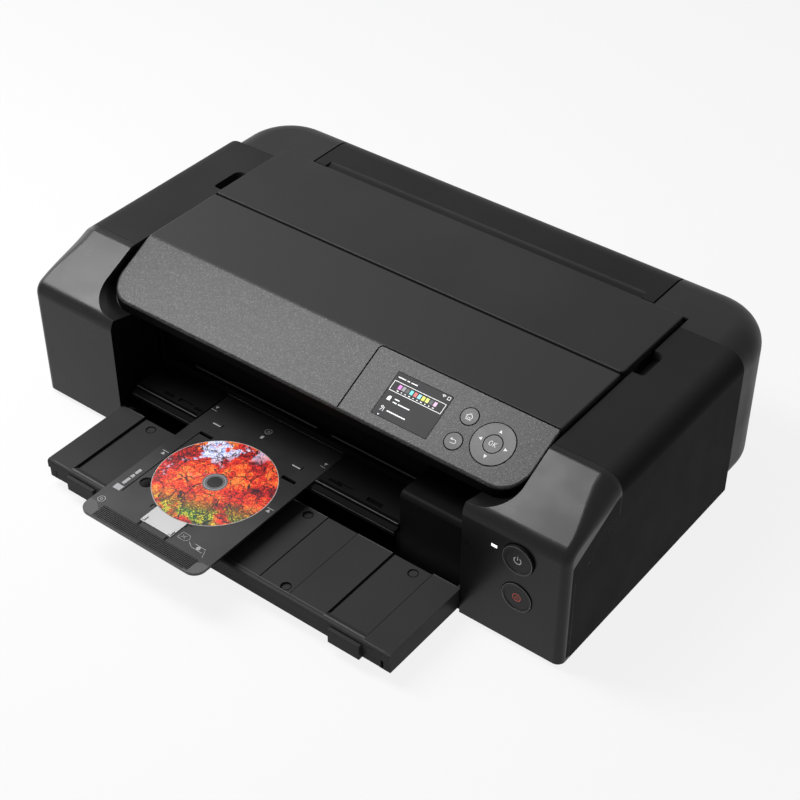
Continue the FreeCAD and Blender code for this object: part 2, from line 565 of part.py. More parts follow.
# ---------------------------------------------------------------- top covers
def eye(name, x, y, z, down):
    """A hinge eye: a round end on a stem that runs down (fixed lug) or up to the skin (ear)."""
    disc = rod(name + "_eye", "x", (x, y, z), "HingeEyeRadius", "EarThick")
    low, high = (down, z) if down != "up" else (z, "(%s) + HingeEyeRadius + 2" % z)
    stem = box(name + "_stem", x, "(%s) + EarThick" % x, "(%s) - HingeEyeRadius" % y,
               "(%s) + HingeEyeRadius / 2" % y, low, high)
    return [disc, stem]


LID_AXIS = ("(LidRearY - LidHingeSetback)", "(LidTop - LidHingeDrop)")
COVER_AXIS = ("(TrayCoverRearY - CoverHingeSetback)", "(LidTop - CoverHingeDrop)")
FLAP_AXIS = ("(FlapRearY - FlapHingeSetback)", "(FlapTop - FlapHingeDrop)")


def hinge_ears(word, ear_x, axis, reach):
    """Pairs of ears for a cover, with the bores that run on the hinge pins."""
    ears, bores = [], []
    for side in (1, -1):
        x = "%s" % ear_x if side > 0 else "-(%s) - EarThick" % ear_x
        ears += eye("%s_ear_%s" % (word, "right" if side > 0 else "left"), x, axis[0], axis[1],
                    "up")
        ears[-1].setExpression("Height", bound(reach))
        bores.append(rod(word + "_bore", "x", ("(%s) - 1" % x, axis[0], axis[1]),
                         "HingePinRadius + RunFit", "EarThick + 2"))
    return ears, bores


def hinge_lugs(word, ear_x, axis, base_z):
    """Fixed lugs just inboard of the ears, and the pins pressed into them."""
    lugs, pins, holes = [], [], []
    for side in (1, -1):
        x = "(%s) - EarThick - FitGap" % ear_x if side > 0 else "-(%s) + FitGap" % ear_x
        lugs += eye("%s_lug_%s" % (word, "right" if side > 0 else "left"), x, axis[0], axis[1],
                    base_z)
        begin = x if side > 0 else "-(%s) - EarThick" % ear_x
        pins.append(rod(word + "_pin", "x", (begin, axis[0], axis[1]), "HingePinRadius",
                        "EarThick * 2 + FitGap"))
        holes.append(rod(word + "_pin_hole", "x", ("(%s) - 1" % x, axis[0], axis[1]),
                         "HingePinRadius", "EarThick + 2"))
    return lugs, pins, holes


def access_cover_and_panel():
    half = value(LID_HALF)
    low_y, low_z = dim("LidLowY"), value(LID_LOW_Z)
    corner = dim("LidCorner")
    top, fold, rear = dim("LidTop"), dim("LidFoldY"), dim("LidRearY")
    under = "(%s - LidDepth)" % LID_LOW_Z
    profile = [("LidLowY", LID_LOW_Z), ("LidFoldY", "LidTop"), ("LidRearY", "LidTop"),
               ("LidRearY", LID_UNDER), ("LidFoldY", LID_UNDER), ("LidLowY", under)]
    form = prism("lid_raw", "YZ_Plane", profile, "-" + LID_HALF, "LidWidth")
    plan = box("lid_plan_block", "-" + LID_HALF, LID_HALF, "LidLowY", "LidRearY", "LidTop - 80",
               "LidTop + 20")
    plan = round_off("lid_plan", plan, [
        ((half, low_y, top), corner), ((-half, low_y, top), corner)])
    form = common("lid_form", form, plan)
    form = round_off("lid_fold", form, [((0, fold, top), 9.0)])
    form = round_off("lid_outer", form, [
        ((0, low_y, low_z), 3.0), ((half, rear - 20, top), dim("LidEdge"))])
    inner_profile = [
        ("LidLowY + SkinThick", "%s + SkinThick * (%s - %s)" % (LID_LOW_Z, SLOPE, STRETCH)),
        ("LidFoldY + SkinThick * (%s - 1) / %s" % (STRETCH, SLOPE), "LidTop - SkinThick"),
        ("LidRearY + 2", "LidTop - SkinThick"), ("LidRearY + 2", LID_UNDER + " - 2"),
        ("LidFoldY", LID_UNDER + " - 2"), ("LidLowY + SkinThick", under + " - 2")]
    void = prism("lid_void_raw", "YZ_Plane", inner_profile, "-%s + SkinThick" % LID_HALF,
                 "LidWidth - SkinThick * 2")
    thick = dim("SkinThick")
    plan = box("lid_void_block", "-%s + SkinThick" % LID_HALF, LID_HALF + " - SkinThick",
               "LidLowY + SkinThick", "LidRearY + 5", "LidTop - 80", "LidTop + 20")
    plan = round_off("lid_void_plan", plan, [
        ((half - thick, low_y + thick, top), corner - thick),
        ((-half + thick, low_y + thick, top), corner - thick)])
    void = common("lid_void", void, plan)
    shell = cut("lid_shell", form, void)
    panel_zone = box("panel_zone", "PanelLeft", LID_HALF + " + 5", "LidLowY - 5", "LidFoldY - 4",
                     "LidTop - 60", "LidTop + 5")
    wide_zone = box("panel_zone_wide", "PanelLeft - FitGap", LID_HALF + " + 5", "LidLowY - 5",
                    "LidFoldY - 4 + FitGap", "LidTop - 60", "LidTop + 5")
    gap = dim("FitGap")
    panel_zone = round_off("panel_zone_soft", panel_zone, [
        ((dim("PanelLeft"), fold - 4, top), dim("PanelCorner"))])
    wide_zone = round_off("panel_zone_wide_soft", wide_zone, [
        ((dim("PanelLeft") - gap, fold - 4 + gap, top), dim("PanelCorner") + gap)])
    ears, bores = hinge_ears("lid", "LidEarX", LID_AXIS, "LidHingeDrop - SkinThick / 2")
    lid = cut("lid_open", fuse("lid_eared", shell, *ears), wide_zone, *bores)
    carrier = box("panel_carrier", "PanelLeft - 12", "PanelLeft + 12", "LidLowY + SkinThick + 8",
                  "LidFoldY - 14", "0", "1.6")
    carrier_v0 = "10"
    bind(carrier, Width="66")
    carrier.setExpression("Placement.Base.y", bound(carrier_v0))
    carrier.setExpression("Placement.Base.z", bound("-SkinThick - 1.6"))
    tab = tilt(group("panel_tab", carrier))
    finish(fuse("lid_with_tab", lid, tab), "access_cover")

    blank = common("panel_blank", shell, panel_zone)
    pocket = box("screen_pocket", "ScreenX - ScreenWidth / 2", "ScreenX + ScreenWidth / 2",
                 "ScreenV - ScreenHeight / 2", "ScreenV + ScreenHeight / 2", "-ScreenThick", "9")
    cuts = [pocket]
    for v in ("KeyV + KeyPitch / 2", "KeyV - KeyPitch / 2"):
        cuts.append(rod("key_hole", "z", ("KeyX", v, "-9"), "KeyRadius + FitGap", "18"))
    cuts.append(rod("ring_hole", "z", ("RingX", "KeyV", "-9"), "RingRadius + FitGap", "18"))
    bored = cut("panel_bored", blank, tilt(group("panel_holes", *cuts)))
    posts = [rod("board_post", "z", (x, v, "-KeyBoardDrop"), "2.5", "KeyBoardDrop - 1")
             for x in ("PanelLeft + 14", "RingX + 30") for v in ("12", "KeyV + 22")]
    finish(fuse("panel_posted", bored, tilt(group("panel_posts", *posts))), "operation_panel")

    glass = box("screen_glass", "ScreenX - ScreenWidth / 2", "ScreenX + ScreenWidth / 2",
                "ScreenV - ScreenHeight / 2", "ScreenV + ScreenHeight / 2", "-ScreenThick", "0")
    finish_tilted(glass, "lcd_screen")
    board = box("key_board", "PanelLeft + 8", "RingX + 36", "6", "KeyV + 28",
                "-KeyBoardDrop - 1.6", "-KeyBoardDrop")
    finish_tilted(board, "panel_board")
    for word, v in (("home", "KeyV + KeyPitch / 2"), ("back", "KeyV - KeyPitch / 2")):
        stem = rod(word + "_stem", "z", ("KeyX", v, "-SkinThick - 1.1"), "KeyRadius",
                   "SkinThick + 1.1 + KeyProud")
        flange = rod(word + "_flange", "z", ("KeyX", v, "-SkinThick - 1.1"), "KeyRadius + 1.2", "1")
        finish_tilted(fuse(word + "_key", stem, flange), word + "_button")
    ring = rod("ring_body", "z", ("RingX", "KeyV", "-SkinThick - 1.1"), "RingRadius",
               "SkinThick + 1.1 + KeyProud")
    skirt = rod("ring_skirt", "z", ("RingX", "KeyV", "-SkinThick - 1.1"), "RingRadius + 1.2", "1")
    bore = rod("ring_bore", "z", ("RingX", "KeyV", "-9"), "OkRadius + FitGap", "18")
    step = rod("ring_step", "z", ("RingX", "KeyV", "-9"), "OkRadius + 1.5", "9 - 1.2")
    finish_tilted(cut("ring_bored", fuse("ring_blank", ring, skirt), bore, step), "dpad_ring")
    stem = rod("ok_stem", "z", ("RingX", "KeyV", "-SkinThick - 1.1"), "OkRadius",
               "SkinThick + 1.1 + KeyProud")
    flange = rod("ok_flange", "z", ("RingX", "KeyV", "-SkinThick - 1.1"), "OkRadius + 1.2", "0.8")
    finish_tilted(fuse("ok_key", stem, flange), "ok_button")


def finish_tilted(obj, label):
    """A sub-part drawn in slope axes, set on the lid's slope in the object's frame."""
    obj = wrapped(obj, label)
    tilt(obj, FRONT_Y)
    SUB_PARTS.append(obj)


access_cover_and_panel()


def cover_shell(word, half, front, rear, depth, top, edge, radius, void_rear):
    """A shallow moulded lid open underneath, with rounded plan corners and softened edge."""
    block = box(word + "_block", "-" + half, half, front, rear, "%s - %s" % (top, depth), top)
    hx, y0, y1, z1 = value(half), value(front), value(rear), value(top)
    form = round_off(word + "_plan", block, [
        ((hx, y0, z1 - 4), radius), ((-hx, y0, z1 - 4), radius),
        ((hx, y1, z1 - 4), radius), ((-hx, y1, z1 - 4), radius)])
    form = round_off(word + "_outer", form, [((0, y0, z1), edge)])
    void = box(word + "_void", "-%s + SkinThick" % half, half + " - SkinThick",
               front + " + SkinThick", void_rear, "%s - %s - 1" % (top, depth),
               top + " - SkinThick")
    return cut(word + "_shell", form, void)


def flap_shell():
    """The feed flap follows the rear housing's roll and ends just short of its back."""
    forms = []
    for name, inset in (("flap_block", "0"), ("flap_void", "SkinThick")):
        half = "(FlapWidth / 2 - %s)" % inset
        block = box(name, "-" + half, half, "FlapFrontY + %s" % inset, "BodyDepth - %s" % inset,
                    "FlapTop - RearRoll - 1", "FlapTop - %s" % inset)
        gap = value(inset)
        forms.append(round_off(name + "_rolled", block, [
            ((0, dim("BodyDepth") - gap, dim("FlapTop") - gap), dim("RearRoll") - gap)]))
    reach = box("flap_reach", "-FlapWidth / 2", "FlapWidth / 2", "FlapFrontY", "FlapRearY",
                "FlapTop - FlapDepth", "FlapTop")
    return cut("flap_shell", common("flap_form", forms[0], reach), forms[1])


def rear_covers_and_bridges():
    shell = cover_shell("tray_cover", LID_HALF, "TrayCoverFrontY", "TrayCoverRearY",
                        "TrayCoverDepth", "LidTop", 1.4, 4.0, "TrayCoverRearY + 1")
    ears, bores = hinge_ears("cover", "CoverEarX", COVER_AXIS, "CoverHingeDrop - SkinThick / 2")
    finish(cut("tray_cover_bored", fuse("tray_cover_eared", shell, *ears), *bores),
           "rear_tray_cover")
    shell = flap_shell()
    ears, bores = hinge_ears("flap", "FlapEarX", FLAP_AXIS, "FlapHingeDrop - SkinThick / 2")
    inset = "(FlapWidth / 2 - FlapGrooveEnd)"
    band = box("flap_band", "-%s - SkinThick" % inset, inset + " + SkinThick", "FlapFrontY + 1",
               "FlapFrontY + FlapGrooveRadius", "FlapTop - FlapGrooveDepth - SkinThick",
               "FlapTop - SkinThick / 2")
    groove = rod("flap_groove", "x", ("-" + inset, "FlapFrontY + FlapGrooveRadius / 5",
                                      "FlapTop - FlapGrooveDepth + FlapGrooveRadius"),
                 "FlapGrooveRadius", inset + " * 2")
    finish(cut("flap_bored", fuse("flap_eared", shell, band, *ears), groove, *bores),
           "rear_feed_flap")

    base = "FrameTop"
    lugs, pins, holes = hinge_lugs("lid", "LidEarX", LID_AXIS, base)
    beam = box("lid_bridge", "-FrameX", "FrameX", LID_AXIS[0] + " - HingeEyeRadius",
               "TrayCoverFrontY + 6", base, "FrameTop + BridgeThick")
    finish(cut("lid_bridge_bored", fuse("lid_bridge_set", beam, *lugs), *holes), "lid_hinge_beam")
    finish(group("lid_pins", *pins), "lid_hinge_pins")
    lugs, pins, holes = hinge_lugs("cover", "CoverEarX", COVER_AXIS, base)
    flap_lugs, flap_pins, flap_holes = hinge_lugs("flap", "FlapEarX", FLAP_AXIS, "RearBeamZ")
    beam = box("rear_bridge", "-FrameX", "FrameX", "FrameRearY - 12",
               COVER_AXIS[0] + " + HingeEyeRadius", base, "FrameTop + BridgeThick")
    arms = []
    for side in (1, -1):
        word = "right" if side > 0 else "left"
        arms.append(side_box(word + "_bridge_arm", side, "FlapEarX - 20", "FlapEarX + 20",
                             "FrameRearY", FLAP_AXIS[0] + " + HingeEyeRadius + 2",
                             "FrameTop - 10", "FrameTop"))
    finish(cut("rear_bridge_bored", fuse("rear_bridge_set", beam, *(arms + lugs + flap_lugs)),
               *(holes + flap_holes)), "rear_hinge_beam")
    finish(group("rear_pins", *(pins + flap_pins)), "rear_hinge_pins")


rear_covers_and_bridges()


# ---------------------------------------------------------------- output tray
def output_tray():
    half = "(TrayWidth / 2)"
    slab = box("tray_slab", "-" + half, half, "TrayFrontY", "TrayRearY", "TraySplit", "TrayTop")
    hx, front, top = value(half), dim("TrayFrontY"), dim("TrayTop")
    slab = round_off("tray_slab_soft", slab, [((0, front, top), 3.0)])
    parts = [slab]
    for side in (1, -1):
        word = "right" if side > 0 else "left"
        parts.append(side_box(word + "_tray_rail", side, half + " - TrayRailWidth + FitGap", half,
                              "TrayFrontY + 2", "TrayRearY", "TrayBottom", "TraySplit"))
        parts.append(side_box(word + "_tray_lip", side, half + " - TrayRailWidth - TrayLip",
                              half, "TrayFrontY + 2", "TrayRearY", "TrayBottom",
                              "TrayBottom + 1.5"))
        arm = half + " - 7"
        parts.append(side_box(word + "_tray_arm", side, arm, half + " - 1", "TrayRearY - 12",
                              "TrayPinY", "TrayPinZ - TrayEyeRadius",
                              "TrayPinZ + TrayEyeRadius"))
        x0, x1 = mirrored(side, arm, half + " - 1")
        parts.append(rod(word + "_tray_eye", "x", (x0, "TrayPinY", "TrayPinZ"), "TrayEyeRadius",
                         "6"))
    whole = fuse("tray_whole", *parts)
    cuts = []
    for side in (1, -1):
        x0, x1 = mirrored(side, half + " - 12", half + " + 1")
        cuts.append(rod("tray_bore", "x", (x0, "TrayPinY", "TrayPinZ"),
                        "TrayPinRadius + RunFit", "13"))
    outer_x = half + " - ChannelInset"
    inner_x = outer_x + " - ChannelWidth"
    front_y = "TrayFrontY + FieldFront"
    cuts.append(box("paper_field", "-(%s)" % inner_x, inner_x, front_y, "TrayRearY + 1",
                    "TrayTop - FieldDepth", "TrayTop + 1"))
    ramp = [(front_y, "TrayTop + 1"), (front_y, "TrayTop"),
            (front_y + " + RampLength", "TrayTop - ChannelDepth"),
            ("TrayRearY + 1", "TrayTop - ChannelDepth"), ("TrayRearY + 1", "TrayTop + 1")]
    for side in (1, -1):
        word = "right" if side > 0 else "left"
        x0, x1 = mirrored(side, inner_x, outer_x)
        cuts.append(prism(word + "_channel", "YZ_Plane", ramp, x0, "ChannelWidth"))
        cuts.append(side_box(word + "_field_step", side, "StepStart", "StepStart + StepWidth",
                             front_y, "TrayRearY + 1", "TrayTop - FieldDepth - StepDepth",
                             "TrayTop + 1"))
        for x, y in (("StepStart + StepWidth - 9", "TrayFrontY + 12"),
                     ("StepStart - 17", "TrayRearY - 9"), (outer_x + " - 16.5", "TrayRearY - 9")):
            x0 = x if side > 0 else "-(%s)" % x
            cuts.append(rod("tray_dimple", "z", (x0, y, "TrayTop - ChannelDepth - DimpleDepth"),
                            "DimpleRadius", "ChannelDepth + 2"))
    tray = cut("tray_cut", whole, *cuts)
    finish(tray, "output_tray")
    pins = []
    for side in (1, -1):
        x0, x1 = mirrored(side, half + " - 7", INNER + " + Wall")
        pins.append(rod("tray_pin", "x", (x0, "TrayPinY", "TrayPinZ"), "TrayPinRadius",
                        "(%s) - (%s)" % (x1, x0)))
    finish(group("tray_pin_pair", *pins), "tray_hinge_pins")
    low = "TrayBottom + 1.5 + FitGap"
    plate = box("extension_plate", "-ExtensionWidth / 2", "ExtensionWidth / 2", "TrayFrontY + 1",
                "TrayRearY - 12", low, low + " + ExtensionThick")
    grips = [side_box(word + "_grip", side, half + " - ChannelInset - GripBlock",
                      half + " - ChannelInset", "TrayFrontY - GripProud", "TrayFrontY + 2",
                      low, "TrayTop - 4")
             for side, word in ((1, "right"), (-1, "left"))]
    notch = box("grip_notch", "-" + half, half, "TrayFrontY - FitGap", "TrayFrontY + 3",
                low + " + ExtensionThick", "TrayTop")
    hollow = box("extension_hollow", "-ExtensionWidth / 2 + 6", "ExtensionWidth / 2 - 6",
                 "TrayFrontY + 10", "TrayRearY - 18", low + " - 1", low + " + ExtensionThick - 2.5")
    body = cut("extension_body", fuse("extension_set", plate, *grips), hollow, notch)
    finish(body, "tray_extension")


output_tray()


# ---------------------------------------------------------------- disc tray
def disc_tray():
    half = "(DiscTrayWidth / 2)"
    rear = "(DiscTrayFrontY + DiscTrayLength)"
    plate = box("disc_plate", "DiscTrayX - " + half, "DiscTrayX + " + half, "DiscTrayFrontY",
                rear, DISC_TRAY_UNDER, "DiscTrayTop")
    x0, x1 = value("DiscTrayX - " + half), value("DiscTrayX + " + half)
    y0, y1, z = dim("DiscTrayFrontY"), value(rear), dim("DiscTrayTop") - 1
    corner = dim("DiscTrayCorner")
    plate = round_off("disc_plate_plan", plate, [
        ((x0, y0, z), corner), ((x1, y0, z), corner), ((x0, y1, z), 5.0), ((x1, y1, z), 5.0)])
    sink = "(DiscThick + DiscSink)"
    pocket = rod("disc_pocket", "z", ("DiscX", "DiscY", "DiscTrayTop - " + sink),
                 "DiscDiameter / 2 + FitGap", "5")
    cuts = [pocket]
    cuts.append(rod("finger_hole", "z", ("DiscX - FingerSpread", "DiscY - FingerReach",
                                         "DiscTrayTop - 5"), "FingerRadius", "10"))
    for sign in "+-":
        x = "DiscX %s SlotSpread" % sign
        y = "DiscY + SlotReach"
        cuts.append(box("disc_slot", x + " - SlotWidth / 2", x + " + SlotWidth / 2",
                        y + " - SlotLength / 2", y + " + SlotLength / 2", "DiscTrayTop - 5",
                        "DiscTrayTop + 1"))
        x = "DiscX %s (AdapterWidth / 2 - AdapterSlot / 2 - 1)" % sign
        cuts.append(box("clip_slot", x + " - AdapterSlot / 2", x + " + AdapterSlot / 2",
                        "AdapterFrontY - 10", "AdapterFrontY + 1", "DiscTrayTop - 5",
                        "DiscTrayTop + 1"))
    cuts.append(box("seat_groove", "DiscX - DiscDiameter / 2 - SeatGroove",
                    "DiscX - DiscDiameter / 2", "DiscY - DiscDiameter / 2 - 2",
                    "DiscY + SlotReach", "DiscTrayTop - 1", "DiscTrayTop + 1"))
    cuts.append(box("adapter_pocket", "DiscX - AdapterWidth / 2 - FitGap",
                    "DiscX + AdapterWidth / 2 + FitGap", "AdapterFrontY - FitGap",
                    "AdapterFrontY + AdapterLength + FitGap", "DiscTrayTop - 0.8",
                    "DiscTrayTop + 1"))
    cuts.append(box("adapter_relief", "DiscX - AdapterWidth / 2 - 6",
                    "DiscX + AdapterWidth / 2 + 6", "AdapterFrontY + AdapterLength - 5",
                    "AdapterFrontY + AdapterLength", "DiscTrayTop - 0.8", "DiscTrayTop + 1"))
    tray = cut("disc_tray_cut", plate, *cuts)
    parts = [rod("disc_hub", "z", ("DiscX", "DiscY", DISC_TRAY_UNDER), "HubRadius",
                 "DiscTrayThick")]
    for index in range(int(dim("GripRibs"))):
        y = "DiscTrayFrontY + GripInset + %d * GripPitch" % index
        parts.append(box("grip_rib", "DiscX - GripWidth / 2", "DiscX + GripWidth / 2", y,
                         y + " + GripPitch / 2", "DiscTrayTop - 0.5", "DiscTrayTop + 0.6"))
    for shift in ("- TabSpread - 7.5", "+ TabSpread"):
        x, y = "DiscX " + shift, "DiscY + TabReach"
        parts.append(box("disc_tab", x + " - TabWidth / 2", x + " + TabWidth / 2",
                         y + " - TabLength / 2", y + " + TabLength / 2", "DiscTrayTop - 0.5",
                         "DiscTrayTop + 0.8"))
    finish(fuse("disc_tray_body", tray, *parts), "disc_tray")

    low = "(DiscTrayTop - %s)" % sink
    disc = rod("disc_blank", "z", ("DiscX", "DiscY", low), "DiscDiameter / 2", "DiscThick")
    hole = rod("disc_hole", "z", ("DiscX", "DiscY", low + " - 1"), "DiscHole / 2", "DiscThick + 2")
    finish(cut("disc_ring", disc, hole), "disc")
    base = "(DiscTrayTop - 0.8)"
    blank = box("adapter_blank", "DiscX - AdapterWidth / 2", "DiscX + AdapterWidth / 2",
                "AdapterFrontY", "AdapterFrontY + AdapterLength", base, base + " + 1.6")
    clips = []
    for sign in "+-":
        x = "DiscX %s (AdapterWidth / 2 - 2.5)" % sign
        clips.append(box("adapter_clip", x + " - 1.5", x + " + 1.5", "AdapterFrontY + 1",
                         "AdapterFrontY + 7", base + " + 1", base + " + 2.6"))
    clear = rod("adapter_arc", "z", ("DiscX", "DiscY", base + " - 1"),
                "DiscDiameter / 2 + FitGap * 2", "5")
    finish(fuse("adapter_body", cut("adapter_curved", blank, clear), *clips), "small_disc_adapter")


disc_tray()


# ---------------------------------------------------------------- paper path and guides
def guides():
    left = "(-%s + 6)" % INNER
    top, low = GUIDE_TOP, "(%s - GuideThick)" % GUIDE_TOP
    parts = [box("guide_plate", left, "GuideRight", "GuideFrontY", "GuideRearY", low, top)]
    tray_left = "(DiscTrayX - DiscTrayWidth / 2 - FitGap * 2)"
    tray_right = "(DiscTrayX + DiscTrayWidth / 2 + FitGap * 2)"
    for word, x0, x1 in (("left", left, tray_left), ("right", tray_right, "GuideRight")):
        parts.append(box(word + "_guide_rail", x0, x1, "GuideFrontY + 6", "GuideRearY", top,
                         "DiscTrayTop + 1"))
    for word, x in (("left", left), ("middle", "-FrameThick * 4"), ("right", "GuideRight - 5")):
        parts.append(box(word + "_guide_leg", x, x + " + 5", "GuideFrontY + 10",
                         "GuideRearY - 8", FLOOR, low + " + 1"))
    body = fuse("guide_set", *parts)
    slots = [box("guide_slot", x + " - 9", x + " + 9", "GuideFrontY + 14", "GuideFrontY + 19",
                 "DiscTrayTop - 1", "DiscTrayTop + 3")
             for x in (tray_left + " - 24", tray_right + " + 28", tray_right + " + 64")]
    finish(cut("guide_body", body, *slots), "disc_guide")

    foot = box("beam_foot", left, "GuideRight + 1.5", "BeamFrontY", "BeamFrontY + BeamDepth",
               "BeamBottom", "BeamBottom + 8")
    wall_low = box("beam_wall_low", left, "GuideRight + 1.5", "BeamFrontY + BeamDepth - 4",
                   "BeamFrontY + BeamDepth", "BeamBottom", "BlockTop + 2")
    edge = "(%s - 2)" % INNER
    wall_high = box("beam_wall_high", "-" + edge, edge, "BeamFrontY + BeamDepth - 4",
                    "BeamFrontY + BeamDepth", "BlockTop + FitGap", "BeamTop")
    legs = [side_box(word + "_beam_leg", side, "%s - 3.5" % edge, edge, "BeamFrontY",
                     "BeamFrontY + BeamDepth", FLOOR, "BeamTop")
            for side, word in ((1, "right"), (-1, "left"))]
    finish(fuse("beam_body", foot, wall_low, wall_high, *legs), "front_beam")

    block = box("block_body", "GuideRight + 2", "%s - 6" % INNER, "BlockFrontY",
                "BeamFrontY + BeamDepth + 12", FLOOR, "BlockTop")
    block = round_off("block_soft", block, [
        ((dim("GuideRight") + 30, dim("BlockFrontY"), dim("BlockTop")), 6.0)])
    hollow = box("block_hollow", "GuideRight + 5", "%s - 9" % INNER, "BlockFrontY + 3",
                 "BeamFrontY + BeamDepth + 9", "0", "BlockTop - 3")
    finish(cut("block_shell", block, hollow), "maintenance_cover")

    top = "PlatenTop"
    wide = "(PlatenWidth / 2)"
    parts = [box("platen_plate", "-" + wide, wide, "PlatenFrontY", "PlatenRearY", top + " - 6",
                 top + " - 1.5")]
    for sign in ("-", ""):
        x = "%s(%s - 3)" % (sign, wide)
        parts.append(box("platen_leg", x + " - 3", x + " + 3", "PlatenFrontY + 4",
                         "PlatenRearY - 4", FLOOR, top + " - 5"))
    for index in range(14):
        x = "-%s + 8 + %d * (PlatenWidth - 16) / 13" % (wide, index)
        parts.append(box("platen_rib", x + " - 0.9", x + " + 0.9", "PlatenFrontY", "PlatenRearY",
                         top + " - 2", top))
    finish(fuse("platen_body", *parts), "platen")
    finish(box("pad", "-%s + 14" % wide, wide + " - 14", "PlatenFrontY + 4", "PlatenRearY - 4",
               FLOOR, FLOOR + " + 12"), "waste_ink_pad")


guides()


# ---------------------------------------------------------------- mechanism
ROLLER_Z = "(PlatenTop - RollerRadius)"
OUT_ROLLER_Z = "(%s - OutRollerRadius)" % GUIDE_TOP
MOTOR_Y = "(RollerY - GearModule * (GearTeeth + PinionTeeth) / 2)"
BELT_Y = "(RailY - PulleyWidth - 1)"


def toothed_wheel(name, teeth, turned, x, y, z, bore):
    """A spur wheel, axis along X; turned is the first tooth's angle in half pitches."""
    count, module = int(dim(teeth)), dim("GearModule")
    pitch_radius = count * module / 2
    root, tip = pitch_radius - module, pitch_radius + module * 0.8
    half_pitch = math.pi / count
    points = []
    for index in range(count):
        angle = half_pitch * (2 * index + turned)
        for turn, radius in ((-0.42, root), (-0.2, tip), (0.2, tip), (0.42, root)):
            points.append(FreeCAD.Vector(0, radius * math.cos(angle + turn * half_pitch),
                                         radius * math.sin(angle + turn * half_pitch)))
    points.append(points[0])
    width = dim("GearWidth")
    blank = Part.Face(Part.makePolygon(points)).extrude(FreeCAD.Vector(width, 0, 0))
    hole = Part.makeCylinder(value(bore), width + 2, FreeCAD.Vector(-1, 0, 0),
                             FreeCAD.Vector(1, 0, 0))
    wheel = doc.addObject("Part::Feature", name)
    wheel.Shape = blank.cut(hole)
    place(wheel, x, y, z)
    return wheel


def chassis():
    plates = []
    for side in (1, -1):
        word = "right" if side > 0 else "left"
        plates.append(side_box(word + "_frame_plate", side, "FrameX - FrameThick", "FrameX",
                               "FrameFrontY", "FrameRearY", FLOOR, "FrameTop"))
        plates.append(side_box(word + "_frame_flange", side, "FrameX - 12", "FrameX",
                               "FrameFrontY + 60", "FrameRearY", FLOOR, FLOOR + " + FrameThick"))
    back = box("frame_back", "-FrameX", "FrameX", "FrameRearY - FrameThick", "FrameRearY", FLOOR,
               "FrameTop")
    holes = []
    for y, z, radius in (("RollerY", ROLLER_Z, "RollerPin + RunFit"),
                         ("OutRollerY", OUT_ROLLER_Z, "RollerPin + RunFit"),
                         ("ShaftY", "ShaftZ", "ShaftRadius"),
                         ("RollerY", PINCH_Z, "1.5 + RunFit")):
        holes.append(rod("frame_hole", "x", ("-FrameX - 1", y, z), radius, "FrameX * 2 + 2"))
    holes.append(rod("motor_hole", "x", ("-FrameX - 1", MOTOR_Y, ROLLER_Z), "4", "FrameThick + 2"))
    holes.append(box("paper_slot", "-FrameX + 20", "FrameX - 20", "FrameRearY - 5",
                     "FrameRearY + 5", "60", "120"))
    finish(cut("frame_cut", fuse("frame_set", back, *plates), *holes), "chassis_frame")
    finish(rod("shaft", "x", ("-FrameX", "ShaftY", "ShaftZ"), "ShaftRadius", "FrameX * 2"),
           "carriage_shaft")
    rail = box("rail_plate", "-FrameX + FrameThick", "FrameX - FrameThick", "RailY",
               "RailY + RailThick", "RailBottom", "RailTop")
    spindle_holes = [rod("spindle_hole", "y", (x, "RailY - 1", "BeltZ"), "2.2", "RailThick + 2")
                     for x in ("BeltX", "-BeltX")]
    finish(cut("rail_bored", rail, *spindle_holes), "carriage_rail")


PINCH_Z = "(PlatenTop + PinchRadius + FitGap)"
chassis()


